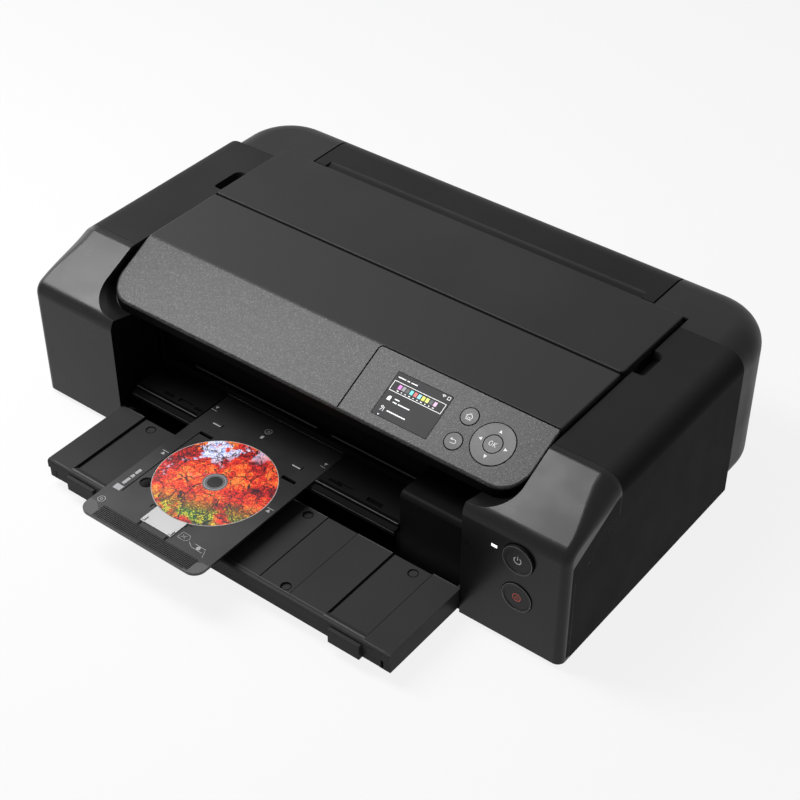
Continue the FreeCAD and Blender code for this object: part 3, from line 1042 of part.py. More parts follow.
def carriage_and_belt():
    x0, x1 = "(CarriageX - CarriageWidth / 2)", "(CarriageX + CarriageWidth / 2)"
    y0, y1 = "CarriageFrontY", "(CarriageFrontY + CarriageDepth)"
    block = box("carriage_block", x0, x1, y0, y1, "CarriageBottom", "CarriageTop")
    bay = box("carriage_bay", x0 + " + 3", x1 + " - 3", y0 + " + 3", y0 + " + TankDepth + 5",
              "CarriageBottom + 5", "CarriageTop + 1")
    bore = rod("carriage_bore", "x", (x0 + " - 1", "ShaftY", "ShaftZ"), "ShaftRadius + RunFit",
               "CarriageWidth + 2")
    clamp = box("belt_clamp", "CarriageX - 8", "CarriageX + 8", "ShaftY + 4",
                BELT_Y + " + PulleyWidth", "CarriageTop - 1",
                "BeltZ - PulleyRadius - BeltThick - FitGap")
    finish(cut("carriage_cut", fuse("carriage_set", block, clamp), bay, bore), "carriage")
    tanks = []
    for index in range(int(dim("TankCount"))):
        x = "%s + 3 + (CarriageWidth - 6 - TankPitch * TankCount) / 2 + %d * TankPitch" % (x0,
                                                                                        index)
        tanks.append(box("tank_%d" % index, x + " + (TankPitch - TankWidth) / 2",
                         x + " + (TankPitch + TankWidth) / 2", y0 + " + 4",
                         y0 + " + 4 + TankDepth", "CarriageBottom + 5", "CarriageBottom + 5 + TankHeight"))
    finish(group("tanks", *tanks), "ink_tanks")
    finish(box("head", "CarriageX - HeadWidth / 2", "CarriageX + HeadWidth / 2", y0 + " + 22",
               y0 + " + 66", "CarriageBottom - 2", "CarriageBottom"), "print_head")

    pulleys = []
    for word, x in (("drive", "BeltX"), ("idler", "-BeltX")):
        wheel = rod(word + "_wheel", "y", (x, BELT_Y, "BeltZ"), "PulleyRadius", "PulleyWidth")
        start = BELT_Y
        spindle = rod(word + "_spindle", "y", (x, start, "BeltZ"), "2.12", "PulleyWidth + 3")
        dish = rod(word + "_dish", "y", (x, BELT_Y + " - 1", "BeltZ"), "PulleyRadius - 3", "2")
        mark = box(word + "_mark", x + " - 0.8", x + " + 0.8", BELT_Y + " - 1", BELT_Y + " + 3",
                   "BeltZ + 2.5", "BeltZ + PulleyRadius - 1")
        finish(cut(word + "_pulley_body", fuse(word + "_pulley_set", wheel, spindle), dish, mark),
               word + "_pulley")
    lanes = []
    for inset, tag in (("0", "outer"), ("BeltThick", "inner")):
        radius = "PulleyRadius + FitGap + BeltThick - (%s)" % inset
        ends = [rod("belt_end", "y", (x, BELT_Y + " + 1", "BeltZ"), radius, "PulleyWidth - 2")
                for x in ("BeltX", "-BeltX")]
        span = box("belt_span", "-BeltX", "BeltX", BELT_Y + " + 1",
                   BELT_Y + " + PulleyWidth - 1", "BeltZ - (%s)" % radius,
                   "BeltZ + (%s)" % radius)
        lanes.append(fuse("belt_" + tag, span, *ends))
    finish(cut("belt_loop", lanes[0], lanes[1]), "drive_belt")
    finish(rod("motor_can", "y", ("BeltX", "RailY + RailThick + 0.1", "BeltZ"), "MotorRadius",
               "MotorLength"), "carriage_motor")
    finish(box("strip", "-FrameX + FrameThick", "FrameX - FrameThick", "ShaftY - 4",
               "ShaftY - 3.6", "CarriageTop + 2", "CarriageTop + 10"), "encoder_strip")


carriage_and_belt()


def rollers():
    roll = rod("feed_roll", "x", ("-RollerLength / 2", "RollerY", ROLLER_Z), "RollerRadius",
               "RollerLength")
    journal = rod("feed_journal", "x", ("-FrameX - 10", "RollerY", ROLLER_Z), "RollerPin",
                  "FrameX * 2 + 11")
    finish(fuse("feed_roller_body", roll, journal), "feed_roller")
    roll = rod("out_roll", "x", ("-RollerLength / 2", "OutRollerY", OUT_ROLLER_Z),
               "OutRollerRadius", "RollerLength")
    journal = rod("out_journal", "x", ("-FrameX - 1", "OutRollerY", OUT_ROLLER_Z), "RollerPin",
                  "FrameX * 2 + 2")
    finish(fuse("out_roller_body", roll, journal), "output_roller")
    parts = [rod("pinch_shaft", "x", ("-FrameX + 0.2", "RollerY", PINCH_Z), "1.5",
                 "FrameX * 2 - 0.4")]
    for index in range(int(dim("PinchCount"))):
        x = "(%d - (PinchCount - 1) / 2) * PinchPitch - PinchWidth / 2" % index
        parts.append(rod("pinch_roll", "x", (x, "RollerY", PINCH_Z), "PinchRadius", "PinchWidth"))
    finish(fuse("pinch_body", *parts), "pinch_rollers")
    gear = toothed_wheel("feed_gear_body", "GearTeeth", 0, "-FrameX - 2 - GearWidth", "RollerY",
                         ROLLER_Z, "RollerPin")
    finish_gear(gear, "feed_gear", "RollerY")
    pinion = toothed_wheel("pinion_body", "PinionTeeth", 1, "-FrameX - 2 - GearWidth", MOTOR_Y,
                           ROLLER_Z, "1.5")
    finish_gear(pinion, "motor_pinion", MOTOR_Y)
    can = rod("feed_motor_can", "x", ("-FrameX + FrameThick + 0.1", MOTOR_Y, ROLLER_Z),
              "MotorRadius", "MotorLength")
    stub = rod("feed_motor_stub", "x", ("-FrameX - 8", MOTOR_Y, ROLLER_Z), "1.42", "12")
    finish(fuse("feed_motor_body", can, stub), "feed_motor")


def finish_gear(obj, label, y):
    obj.Label = label
    obj.setExpression("Placement.Base.y", bound("(%s) + %s" % (y, FRONT_Y)))
    SUB_PARTS.append(obj)


rollers()


def boards():
    front = "(RollerY + RollerRadius + FitGap * 4)"
    back = "(FrameRearY - FrameThick - 6)"
    cage = box("supply_cage", "-FrameX + 48", "-FrameX + 168", front, back, FLOOR,
               FLOOR + " + 46")
    slots = [box("supply_slot", "-FrameX + %d" % (58 + 12 * index),
                 "-FrameX + %d" % (64 + 12 * index), front + " + 7", back + " - 7",
                 FLOOR + " + 44", FLOOR + " + 50") for index in range(8)]
    finish(cut("supply_body", cage, *slots), "power_supply")
    low = "(%s + 6)" % FLOOR
    depth = "(%s - %s)" % (back, front)
    left = "(FrameX - 216)"
    parts = [box("board_plate", left, "FrameX - 26", front, back, low, low + " + 1.6")]
    for x, y, w, d, t in (("20", "0.2", "26", "0.45", "2"), ("70", "0.25", "18", "0.3", "2"),
                          ("100", "0.15", "40", "0.2", "9"), ("150", "0.4", "14", "0.4", "12")):
        parts.append(box("board_chip", "%s + %s" % (left, x), "%s + %s + %s" % (left, x, w),
                         "%s + %s * %s" % (front, y, depth),
                         "%s + (%s + %s) * %s" % (front, y, d, depth), low + " + 1",
                         low + " + 1.6 + " + t))
    for x in (left + " + 6", "FrameX - 32"):
        for y in (front + " + 4", back + " - 4"):
            parts.append(rod("board_post", "z", (x, y, FLOOR), "2.5", "7"))
    finish(fuse("board_body", *parts), "main_board")


boards()


# ---------------------------------------------------------------- checks and export
doc.recompute()
faults = [o.Name for o in doc.Objects if "Invalid" in o.State or "Error" in o.State]
for part in SUB_PARTS:
    if part.Shape.isNull() or not part.Shape.isValid() or not part.Shape.Solids:
        faults.append(part.Label)
if faults:
    raise ValueError("sub-parts need attention: %s" % ", ".join(sorted(set(faults))))
os.makedirs("parts", exist_ok=True)
for part in SUB_PARTS:
    part.Shape.exportStep("parts/%s.step" % part.Label)
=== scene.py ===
import bpy
import bmesh
import math
from mathutils import Vector, Matrix


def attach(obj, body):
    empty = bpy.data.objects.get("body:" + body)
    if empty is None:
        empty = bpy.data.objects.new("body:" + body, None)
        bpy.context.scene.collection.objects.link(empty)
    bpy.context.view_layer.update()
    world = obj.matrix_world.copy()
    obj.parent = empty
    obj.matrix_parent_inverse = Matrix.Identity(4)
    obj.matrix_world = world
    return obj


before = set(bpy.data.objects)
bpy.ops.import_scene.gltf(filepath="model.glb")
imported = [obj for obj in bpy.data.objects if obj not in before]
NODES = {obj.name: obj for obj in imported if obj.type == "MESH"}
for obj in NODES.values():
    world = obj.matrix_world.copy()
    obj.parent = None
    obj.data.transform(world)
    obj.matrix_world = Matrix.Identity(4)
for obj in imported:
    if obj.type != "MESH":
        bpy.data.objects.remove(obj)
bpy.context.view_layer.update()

# ---------------------------------------------------------------- places
# Millimetres: x to the right, y to the rear from the front of the end housings, z up.
FRONT_Y = -117.5                       # front of the end housings, in the shared frame
BODY_HALF = 319.5                      # half the overall width
SLOPE = math.atan2(36.0, 73.0)         # of the lid's front and of the end housings
SIN, COS = math.sin(SLOPE), math.cos(SLOPE)
LID_HALF, LID_CORNER = 246.0, 28.0
LID_LOW_Y, LID_FOLD_Y, LID_TOP = 29.0, 96.0, 174.5
LID_LOW_Z = LID_TOP - math.tan(SLOPE) * (LID_FOLD_Y - LID_LOW_Y)
COVER_TOP = 170.0                      # top of the end covers
KEY_X, HOME_V, BACK_V = 165.7, 48.0, 21.0
RING_X, RING_V = 199.5, 34.5
KEY_RADIUS, RING_RADIUS = 8.45, 20.85
KEY_PROUD = 0.3                        # how far the keys stand out of the panel
BUTTON_X, POWER_Z, STOP_Z = 271.0, 107.0, 61.4
POWER_PROUD, STOP_PROUD = 3.0, 1.0     # rims of the two buttons, out of the front cap
BUTTON_DISH = 0.5                      # from a button's rim down to its face
SCREEN_LEFT, SCREEN_RIGHT = 80.5, 142.0
SCREEN_TOP, SCREEN_FOOT = 57.75, 11.25
GUIDE_LEFT, GUIDE_RIGHT, GUIDE_TOP = -204.0, 127.5, 51.0
BEAM_TOP = 61.0                        # front beam in the mouth
BEAM_BAYS = ((-168.0, -9.0), (9.0, 118.0))
DISC_TRAY_X, DISC_TRAY_TOP, TAB_TOP = -46.5, 50.0, 50.8
TRAY_LIP, TRAY_MIDDLE, TRAY_STEP, TRAY_CHANNEL = 32.0, 30.8, 30.3, 29.4
FILM, THIN_FILM = (0.01, 0.04), (0.01, 0.03)   # height above a surface, and thickness


def machine(x, y, z):
    """Millimetres from the front of the end housings, as metres in the shared frame."""
    return Vector((x, y + FRONT_Y, z)) / 1000


def on_slope(x, v, n=0.0):
    """A point v up the lid's slope from its lower edge and n out of it."""
    return machine(x, LID_LOW_Y + v * COS - n * SIN, LID_LOW_Z + v * SIN + n * COS)


def on_cap(x, z, n=0.0):
    """A point on the front of the end housings, n towards the viewer."""
    return machine(x, -n, z)


def on_level(z):
    """Points on a level surface at height z, n above it."""
    def place(x, y, n=0.0):
        return machine(x, y, z + n)
    return place


def on_side(side):
    """Points on the outer face of the left (-1) or right (1) end housing, n out of it."""
    def place(y, z, n=0.0):
        return machine(side * (BODY_HALF + n), y, z)
    return place


# ---------------------------------------------------------------- materials
class Recipe:
    """Small helper that wires one procedural material."""

    def __init__(self, name, colour, rough, **sockets):
        self.material = bpy.data.materials.new(name)
        self.material.use_nodes = True
        self.tree = self.material.node_tree
        self.shader = self.tree.nodes["Principled BSDF"]
        self.coords = self.add("ShaderNodeTexCoord").outputs["Object"]
        self.shader.inputs["Base Color"].default_value = (*colour, 1)
        self.shader.inputs["Roughness"].default_value = rough
        for key, number in sockets.items():
            self.shader.inputs[key.replace("_", " ")].default_value = number
        self.normal = None

    def add(self, kind, **numbers):
        node = self.tree.nodes.new(kind)
        for key, number in numbers.items():
            node.inputs[key.replace("_", " ")].default_value = number
        return node

    def link(self, output, socket):
        self.tree.links.new(output, socket)

    def plug(self, value, socket):
        """Set a socket to a number or a colour, or link a node's output to it."""
        if isinstance(value, (int, float)):
            socket.default_value = value
        elif isinstance(value, tuple):
            socket.default_value = (*value, 1)
        else:
            self.link(value, socket)

    def noise(self, scale, detail=3.0, rough=0.5):
        node = self.add("ShaderNodeTexNoise", Scale=scale, Detail=detail, Roughness=rough)
        self.link(self.coords, node.inputs["Vector"])
        return node.outputs["Fac"]

    def cells(self, scale):
        node = self.add("ShaderNodeTexVoronoi", Scale=scale)
        self.link(self.coords, node.inputs["Vector"])
        return node

    def apart(self, kind, value):
        """The separate outputs of a colour or a position."""
        node = self.add(kind)
        self.link(value, node.inputs[0])
        return node.outputs

    def ramp(self, value, stops):
        node = self.add("ShaderNodeValToRGB")
        band = node.color_ramp
        while len(band.elements) < len(stops):
            band.elements.new(0.5)
        for element, (at, shade) in zip(band.elements, stops):
            element.position = at
            element.color = (*shade, 1)
        self.link(value, node.inputs["Fac"])
        return node.outputs["Color"]

    def span(self, value, low, high, out_low, out_high):
        node = self.add("ShaderNodeMapRange")
        self.link(value, node.inputs["Value"])
        for key, number in (("From Min", low), ("From Max", high), ("To Min", out_low),
                            ("To Max", out_high)):
            node.inputs[key].default_value = number
        return node.outputs["Result"]

    def maths(self, operation, a, b=None):
        node = self.add("ShaderNodeMath")
        node.operation = operation
        self.plug(a, node.inputs[0])
        if b is not None:
            self.plug(b, node.inputs[1])
        return node.outputs[0]

    def mix(self, factor, first, second):
        node = self.add("ShaderNodeMix")
        node.data_type = "RGBA"
        for index, value in ((0, factor), (6, first), (7, second)):   # the colour sockets
            self.plug(value, node.inputs[index])
        return node.outputs[2]

    def colour(self, value):
        self.link(value, self.shader.inputs["Base Color"])

    def roughness(self, value):
        self.link(value, self.shader.inputs["Roughness"])

    def soft_edges(self, radius):
        """Edges catch light as if rounded by a mould radius."""
        node = self.add("ShaderNodeBevel", Radius=radius)
        node.samples = 4
        self.normal = node.outputs["Normal"]
        self.link(self.normal, self.shader.inputs["Normal"])

    def bump(self, value, strength, distance):
        node = self.add("ShaderNodeBump", Strength=strength, Distance=distance)
        self.link(value, node.inputs["Height"])
        if self.normal:
            self.link(self.normal, node.inputs["Normal"])
        self.normal = node.outputs["Normal"]
        self.link(self.normal, self.shader.inputs["Normal"])


def moulded(name, low, high, rough, grain=900.0, bump=0.05, edge=0.0004, **sockets):
    """Moulded plastic: fine grain, slight unevenness in shade and gloss, softened edges."""
    sockets.setdefault("Specular_IOR_Level", 0.3)
    recipe = Recipe(name, high, rough, **sockets)
    if edge:
        recipe.soft_edges(edge)
    broad = recipe.noise(9.0, 2.0)
    recipe.colour(recipe.ramp(broad, [(0.3, low), (0.7, high)]))
    recipe.roughness(recipe.span(recipe.noise(30.0, 4.0), 0.3, 0.7, rough - 0.04, rough + 0.04))
    recipe.bump(recipe.noise(grain, 2.0), bump, 0.0002)
    return recipe


def grey(value, tint=0.0):
    return (value, value, value * (1 + tint))


MATERIALS = {}                         # name: (material, slot)


def keep(recipe, slot):
    """Enter a material under its name, which stands for it from here on."""
    MATERIALS[recipe.material.name] = (recipe.material, slot)
    return recipe.material.name


CHEEK = keep(moulded("cheek_satin", grey(0.004), grey(0.006), 0.29, 1500.0, 0.02,
                     Specular_IOR_Level=0.235), "cheek_shell")
SIDE = keep(moulded("cover_satin", grey(0.021), grey(0.026), 0.42, 1300.0, 0.07,
                    Specular_IOR_Level=0.008), "cheek_shell")
TOP = keep(moulded("top_matt", grey(0.015), grey(0.019), 0.42, 1200.0, 0.08,
                   Specular_IOR_Level=0.14), "top_shell")
FLAP = keep(moulded("flap_matt", grey(0.009), grey(0.012), 0.45, 1200.0, 0.08,
                    Specular_IOR_Level=0.08), "top_shell")
INNER = keep(moulded("inner_black", grey(0.003), grey(0.004), 0.5, 800.0, 0.05,
                     Specular_IOR_Level=0.01), "inner_plastic")
GUIDE = keep(moulded("guide_black", grey(0.005), grey(0.007), 0.42, 800.0, 0.05, 0.0006,
                     Specular_IOR_Level=0.03), "inner_plastic")
TRAY = keep(moulded("tray_black", grey(0.027), grey(0.033), 0.45, 900.0, 0.06, 0.0005,
                    Specular_IOR_Level=0.06), "tray_plastic")
DISC_TRAY = keep(moulded("disc_tray_grey", grey(0.014), grey(0.018), 0.30, 900.0, 0.03, 0.0,
                         Specular_IOR_Level=0.55), "disc_tray_plastic")
# near-black for dark joints, and for painted shade in slots, grooves, along step and channel walls,
# round holes and between grip ribs
SEAM_AND_SHADE = keep(moulded("seam_and_painted_shade_black", grey(0.001), grey(0.0015), 0.7, 900.0, 0.05, 0.0,
                    Specular_IOR_Level=0.02), "inner_plastic")
RAIL = keep(moulded("rail_grey", grey(0.018), grey(0.024), 0.35, 900.0, 0.05, 0.0,
                    Specular_IOR_Level=0.3), "inner_plastic")
# painted highlight: pale grey for the thin bright ring on the power and stop buttons' rims
RIM_HIGHLIGHT = keep(moulded("painted_rim_highlight", grey(0.20), grey(0.26), 0.3, 900.0, 0.03, 0.0), "keys")
# painted highlight: pale grey for thin bars along edges, standing for the light those edges catch
EDGE_HIGHLIGHT = keep(moulded("painted_edge_highlight", grey(0.055), grey(0.070), 0.4, 900.0, 0.05, 0.0004,
                    Specular_IOR_Level=0.3), "inner_plastic")
CLEAR = keep(moulded("clear_corner", grey(0.080), grey(0.095), 0.3, 900.0, 0.05, 0.0,
                     Specular_IOR_Level=0.2), "disc_tray_plastic")
PALE = keep(moulded("adapter_grey", grey(0.42), grey(0.50), 0.45, 700.0, 0.05), "adapter")
KEY = keep(moulded("key_pearl", grey(0.020), grey(0.028), 0.38, 1500.0, 0.05), "keys")
BUTTON = keep(moulded("button_black", grey(0.006), grey(0.009), 0.3, 1500.0, 0.03, 0.0007,
                      Specular_IOR_Level=0.2), "keys")
RUBBER = keep(moulded("rubber_black", grey(0.012), grey(0.018), 0.8, 600.0, 0.15), "rubber")
TANK = keep(moulded("tank_dark", grey(0.03), grey(0.05), 0.35, 500.0, 0.04), "tank")
ACETAL = keep(moulded("acetal", grey(0.62), grey(0.7), 0.35, 500.0, 0.03), "gear_plastic")
FELT = keep(moulded("felt", grey(0.6), grey(0.75), 0.95, 300.0, 0.4, 0.0), "pad")


def sparkle_material(name, slot):
    """Black plastic with a pearl grain, as on the lid's slope, fading into a smooth top."""
    recipe = Recipe(name, grey(0.02), 0.36, Specular_IOR_Level=0.18)
    grain = recipe.cells(900.0)
    pearls = recipe.cells(1250.0)
    bright = recipe.apart("ShaderNodeSeparateColor", pearls.outputs["Color"])
    flecks = recipe.span(bright[0], 0.82, 0.98, 0.0, 1.0)
    shade = recipe.ramp(grain.outputs["Color"], [(0.2, grey(0.010)), (0.85, grey(0.030))])
    shade = recipe.mix(flecks, shade, grey(0.085))
    place = recipe.apart("ShaderNodeSeparateXYZ", recipe.coords)
    fold = LID_FOLD_Y + FRONT_Y
    back = recipe.span(place["Y"], (fold - 1) / 1000, (fold + 1) / 1000, 0.0, 1.0)
    recipe.colour(recipe.mix(back, shade, grey(0.019)))
    recipe.roughness(recipe.span(back, 0.0, 1.0, 0.34, 0.5))
    recipe.bump(grain.outputs["Distance"], 0.25, 0.0003)
    return keep(recipe, slot)


LID = sparkle_material("lid_pearl", "lid_shell")
PANEL = sparkle_material("panel_pearl", "panel")


def metal(name, slot, shade, rough):
    recipe = Recipe(name, grey(shade), rough, Metallic=1.0)
    recipe.colour(recipe.ramp(recipe.noise(60.0, 4.0), [(0.3, grey(shade * 0.8)),
                                                        (0.7, grey(shade))]))
    recipe.roughness(recipe.span(recipe.noise(200.0, 2.0), 0.3, 0.7, rough - 0.06, rough + 0.06))
    return keep(recipe, slot)


STEEL = metal("zinc_sheet", "steel", 0.6, 0.35)
BAR = metal("ground_bar", "shaft_steel", 0.8, 0.15)
BOARD = keep(moulded("board_green", (0.01, 0.09, 0.04), (0.015, 0.12, 0.05), 0.4, 300.0, 0.1),
             "board")


def screen_material():
    recipe = Recipe("screen_glass", grey(0.02, 0.1), 0.3, Specular_IOR_Level=0.06)
    recipe.colour(recipe.ramp(recipe.noise(20.0), [(0.3, (0.015, 0.015, 0.017)),
                                                   (0.7, (0.020, 0.020, 0.022))]))
    return keep(recipe, "screen")


SCREEN = screen_material()


def ink(name, colour, slot, strength=0.0):
    """Printed marks and lit pixels: a fine dot structure over one ink colour."""
    recipe = Recipe(name, colour, 0.5)
    dots = recipe.noise(2500.0, 1.0)
    low = tuple(c * 0.85 for c in colour)
    shade = recipe.ramp(dots, [(0.35, low), (0.65, colour)])
    recipe.colour(shade)
    if strength:
        recipe.link(shade, recipe.shader.inputs["Emission Color"])
        recipe.shader.inputs["Emission Strength"].default_value = strength
    return keep(recipe, slot)


WHITE_INK = ink("white_ink", (0.72, 0.72, 0.72), "keys")
GREY_INK = ink("grey_ink", (0.30, 0.30, 0.31), "disc_tray_plastic")
RED_INK = ink("red_ink", (0.62, 0.10, 0.07), "keys")
LAMP = ink("lamp_white", (0.95, 0.96, 0.98), "lamp", 1.0)
SCREEN_LIT = {
    "white": ink("lit_white", (0.80, 0.80, 0.80), "screen", 0.25),
    "magenta": ink("lit_magenta", (0.62, 0.16, 0.58), "screen", 0.25),
    "grey": ink("lit_grey", (0.22, 0.22, 0.25), "screen", 0.2),
    "cyan": ink("lit_cyan", (0.10, 0.62, 0.62), "screen", 0.25),
    "red": ink("lit_red", (0.62, 0.09, 0.08), "screen", 0.25),
    "sky": ink("lit_sky", (0.25, 0.65, 0.75), "screen", 0.25),
    "yellow": ink("lit_yellow", (0.68, 0.70, 0.06), "screen", 0.25),
    "lime": ink("lit_lime", (0.60, 0.74, 0.12), "screen", 0.25),
    "pink": ink("lit_pink", (0.75, 0.42, 0.62), "screen", 0.25),
    "dark": ink("lit_dark", (0.02, 0.02, 0.025), "screen", 0.02),
}

DISC_CENTRE = machine(-44.2, -40.4, 49.8)
HUB_RADIUS, RIM_RADIUS, STACK_RADIUS = 0.0122, 0.0593, 0.0103   # metres, as in the shaders


def disc_material():
    """A generic printed disc: fine leaf-like flecks in warm drifts with cool and green patches."""
    recipe = Recipe("disc_print", (0.5, 0.1, 0.05), 0.34, Coat_Weight=0.15, Coat_Roughness=0.12)
    flakes = recipe.cells(900.0)
    broad = recipe.noise(30.0, 4.0, 0.6)
    speck = recipe.apart("ShaderNodeSeparateColor", flakes.outputs["Color"])
    clumps = recipe.noise(190.0, 3.0, 0.7)
    drift = recipe.maths("ADD", recipe.maths("MULTIPLY", broad, 0.62),
                         recipe.maths("ADD", recipe.maths("MULTIPLY", clumps, 0.30),
                                      recipe.maths("MULTIPLY", speck[0], 0.14)))
    warm = recipe.ramp(drift, [(0.40, (0.07, 0.006, 0.010)), (0.46, (0.36, 0.010, 0.012)),
                               (0.52, (0.72, 0.022, 0.016)), (0.58, (0.78, 0.10, 0.02)),
                               (0.64, (0.80, 0.30, 0.05)), (0.72, (0.55, 0.03, 0.03))])
    place = recipe.apart("ShaderNodeSeparateXYZ", recipe.coords)
    across = recipe.maths("SUBTRACT", place["X"], DISC_CENTRE.x)
    along = recipe.maths("SUBTRACT", place["Y"], DISC_CENTRE.y)
    patch = recipe.noise(44.0, 4.0, 0.65)
    # green and yellow drifts towards the near edge, pale blue ones towards the far left
    near = recipe.maths("SUBTRACT", recipe.maths("MULTIPLY", across, 0.35), along)
    green = recipe.maths("MULTIPLY", recipe.span(near, 0.020, 0.046, 0.0, 1.0),
                         recipe.span(patch, 0.40, 0.50, 0.0, 1.0))
    leaf = recipe.ramp(recipe.maths("ADD", recipe.maths("MULTIPLY", clumps, 0.7),
                                    recipe.maths("MULTIPLY", speck[1], 0.3)),
                       [(0.34, (0.006, 0.035, 0.012)), (0.46, (0.03, 0.13, 0.02)),
                        (0.56, (0.20, 0.28, 0.02)), (0.66, (0.72, 0.60, 0.05))])
    far = recipe.maths("SUBTRACT", recipe.maths("MULTIPLY", along, 0.8), across)
    blue = recipe.maths("MULTIPLY", recipe.span(far, 0.014, 0.050, 0.0, 1.0),
                        recipe.span(patch, 0.53, 0.58, 0.0, 1.0))
    cool = recipe.ramp(speck[2], [(0.3, (0.28, 0.40, 0.78)), (0.7, (0.82, 0.80, 0.90))])
    shade = recipe.mix(green, warm, leaf)
    shade = recipe.mix(blue, shade, cool)
    # thin dark twigs wandering between cells of two sizes
    wander = recipe.add("ShaderNodeTexNoise", Scale=60.0, Detail=4.0)
    recipe.link(recipe.coords, wander.inputs["Vector"])
    shifted = recipe.add("ShaderNodeVectorMath")
    shifted.operation = "MULTIPLY_ADD"
    shifted.inputs[1].default_value = (0.03, 0.03, 0.0)
    recipe.link(wander.outputs["Color"], shifted.inputs[0])
    recipe.link(recipe.coords, shifted.inputs[2])
    for scale, width, depth in ((34.0, 0.030, 0.97), (85.0, 0.045, 0.85)):
        veins = recipe.add("ShaderNodeTexVoronoi", Scale=scale)
        veins.feature = "DISTANCE_TO_EDGE"
        recipe.link(shifted.outputs[0], veins.inputs["Vector"])
        thin = recipe.maths("MULTIPLY",
                            recipe.span(veins.outputs["Distance"], width * 0.4, width, depth, 0.0),
                            recipe.span(clumps, 0.38, 0.48, 0.35, 1.0))
        shade = recipe.mix(thin, shade, (0.012, 0.004, 0.010))
    # unprinted hub with a stacking ring, and a thin bare rim
    radius = recipe.maths("SQRT", recipe.maths("ADD", recipe.maths("MULTIPLY", across, across),
                                               recipe.maths("MULTIPLY", along, along)))
    hub = recipe.maths("LESS_THAN", radius, HUB_RADIUS)
    rim = recipe.maths("GREATER_THAN", radius, RIM_RADIUS)
    bare = recipe.maths("MAXIMUM", hub, rim)
    ring = recipe.maths("LESS_THAN", recipe.maths(
        "ABSOLUTE", recipe.maths("SUBTRACT", radius, STACK_RADIUS)), 0.0004)
    plain = recipe.mix(ring, (0.115, 0.115, 0.12), (0.26, 0.26, 0.27))
    plain = recipe.mix(rim, plain, (0.34, 0.32, 0.31))
    recipe.colour(recipe.mix(bare, shade, plain))
    recipe.roughness(recipe.span(bare, 0.0, 1.0, 0.38, 0.2))
    return keep(recipe, "disc_plastic")


DISC = disc_material()

DRESS = {
    CHEEK: ["left_front_cap", "right_front_cap"],
    SIDE: ["left_end_cover", "right_end_cover"],
    TOP: ["rear_cover", "rear_tray_cover"],
    FLAP: ["rear_feed_flap"],
    INNER: ["base_pan", "lid_hinge_beam", "rear_hinge_beam", "platen", "carriage", "print_head",
            "power_inlet"],
    GUIDE: ["disc_guide", "front_beam", "maintenance_cover"],
    TRAY: ["output_tray", "tray_extension"],
    DISC_TRAY: ["disc_tray"],
    PALE: ["small_disc_adapter"],
    KEY: ["home_button", "back_button", "dpad_ring", "ok_button"],
    BUTTON: ["power_button", "stop_button"],
    RUBBER: ["rubber_feet", "drive_belt", "feed_roller", "pinch_rollers", "output_roller"],
    TANK: ["ink_tanks"],
    ACETAL: ["drive_pulley", "idler_pulley", "feed_gear", "motor_pinion"],
    FELT: ["waste_ink_pad"],
    LID: ["access_cover"],
    PANEL: ["operation_panel"],
    STEEL: ["chassis_frame", "carriage_rail", "carriage_motor", "feed_motor", "power_supply"],
    BAR: ["lid_hinge_pins", "rear_hinge_pins", "tray_hinge_pins", "carriage_shaft"],
    BOARD: ["main_board", "panel_board", "button_board"],
    SCREEN: ["lcd_screen", "encoder_strip"],
    LAMP: ["status_led"],
    DISC: ["disc"],
}
for material_name, names in DRESS.items():
    for node_name in names:
        for material_slot in NODES[node_name].material_slots:
            material_slot.link = "OBJECT"
            material_slot.material = MATERIALS[material_name][0]


# ---------------------------------------------------------------- printed marks
class Piece:
    """A mesh under construction that becomes one object on one body."""

    def __init__(self, name):
        self.name, self.build = name, bmesh.new()

    def vertex(self, point):
        return self.build.verts.new(point)

    def face(self, *corners):
        self.build.faces.new(corners)

    def done(self, body, material_name):
        mesh = bpy.data.meshes.new(self.name)
        self.build.normal_update()
        self.build.to_mesh(mesh)
        self.build.free()
        material, slot = MATERIALS[material_name]
        mesh.materials.append(material)
        piece = bpy.data.objects.new(self.name, mesh)
        bpy.context.scene.collection.objects.link(piece)
        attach(piece, body)


class Marks(Piece):
    """Thin flat shapes lying on one surface, gathered into one piece."""

    def __init__(self, name, place, level=0.0, thick=0.05):
        super().__init__(name)
        self.place, self.level, self.thick = place, level, thick

    def shape(self, points):
        """One closed outline, listed anticlockwise."""
        low = [self.vertex(self.place(x, y, self.level)) for x, y in points]
        high = [self.vertex(self.place(x, y, self.level + self.thick)) for x, y in points]
        self.face(*high)
        for index in range(len(points)):
            after = (index + 1) % len(points)
            self.face(low[index], low[after], high[after], high[index])

    def bar(self, x0, y0, x1, y1):
        self.shape([(x0, y0), (x1, y0), (x1, y1), (x0, y1)])

    def line(self, points, width, closed=False):
        """Straight strokes of one width through the points, with round joints."""
        following = points[1:] + points[:1] if closed else points[1:]
        for (ax, ay), (bx, by) in zip(points, following):
            length = math.hypot(bx - ax, by - ay)
            ox, oy = (by - ay) / length * width / 2, -(bx - ax) / length * width / 2
            self.shape([(ax + ox, ay + oy), (bx + ox, by + oy), (bx - ox, by - oy),
                        (ax - ox, ay - oy)])
        for x, y in points:
            self.spot(x, y, width / 2, 10)

    def spot(self, x, y, radius, count=28):
        turns = [t * math.tau / count for t in range(count)]
        self.shape([(x + radius * math.cos(t), y + radius * math.sin(t)) for t in turns])

    def arc(self, x, y, radius, width, start=0.0, end=360.0, count=32):
        """A stroke along a circle, from start to end in degrees."""
        steps = [math.radians(start + (end - start) * t / count) for t in range(count + 1)]
        for one, two in zip(steps, steps[1:]):
            self.shape([(x + r * math.cos(t), y + r * math.sin(t))
                        for r, t in ((radius - width / 2, one), (radius + width / 2, one),
                                     (radius + width / 2, two), (radius - width / 2, two))])


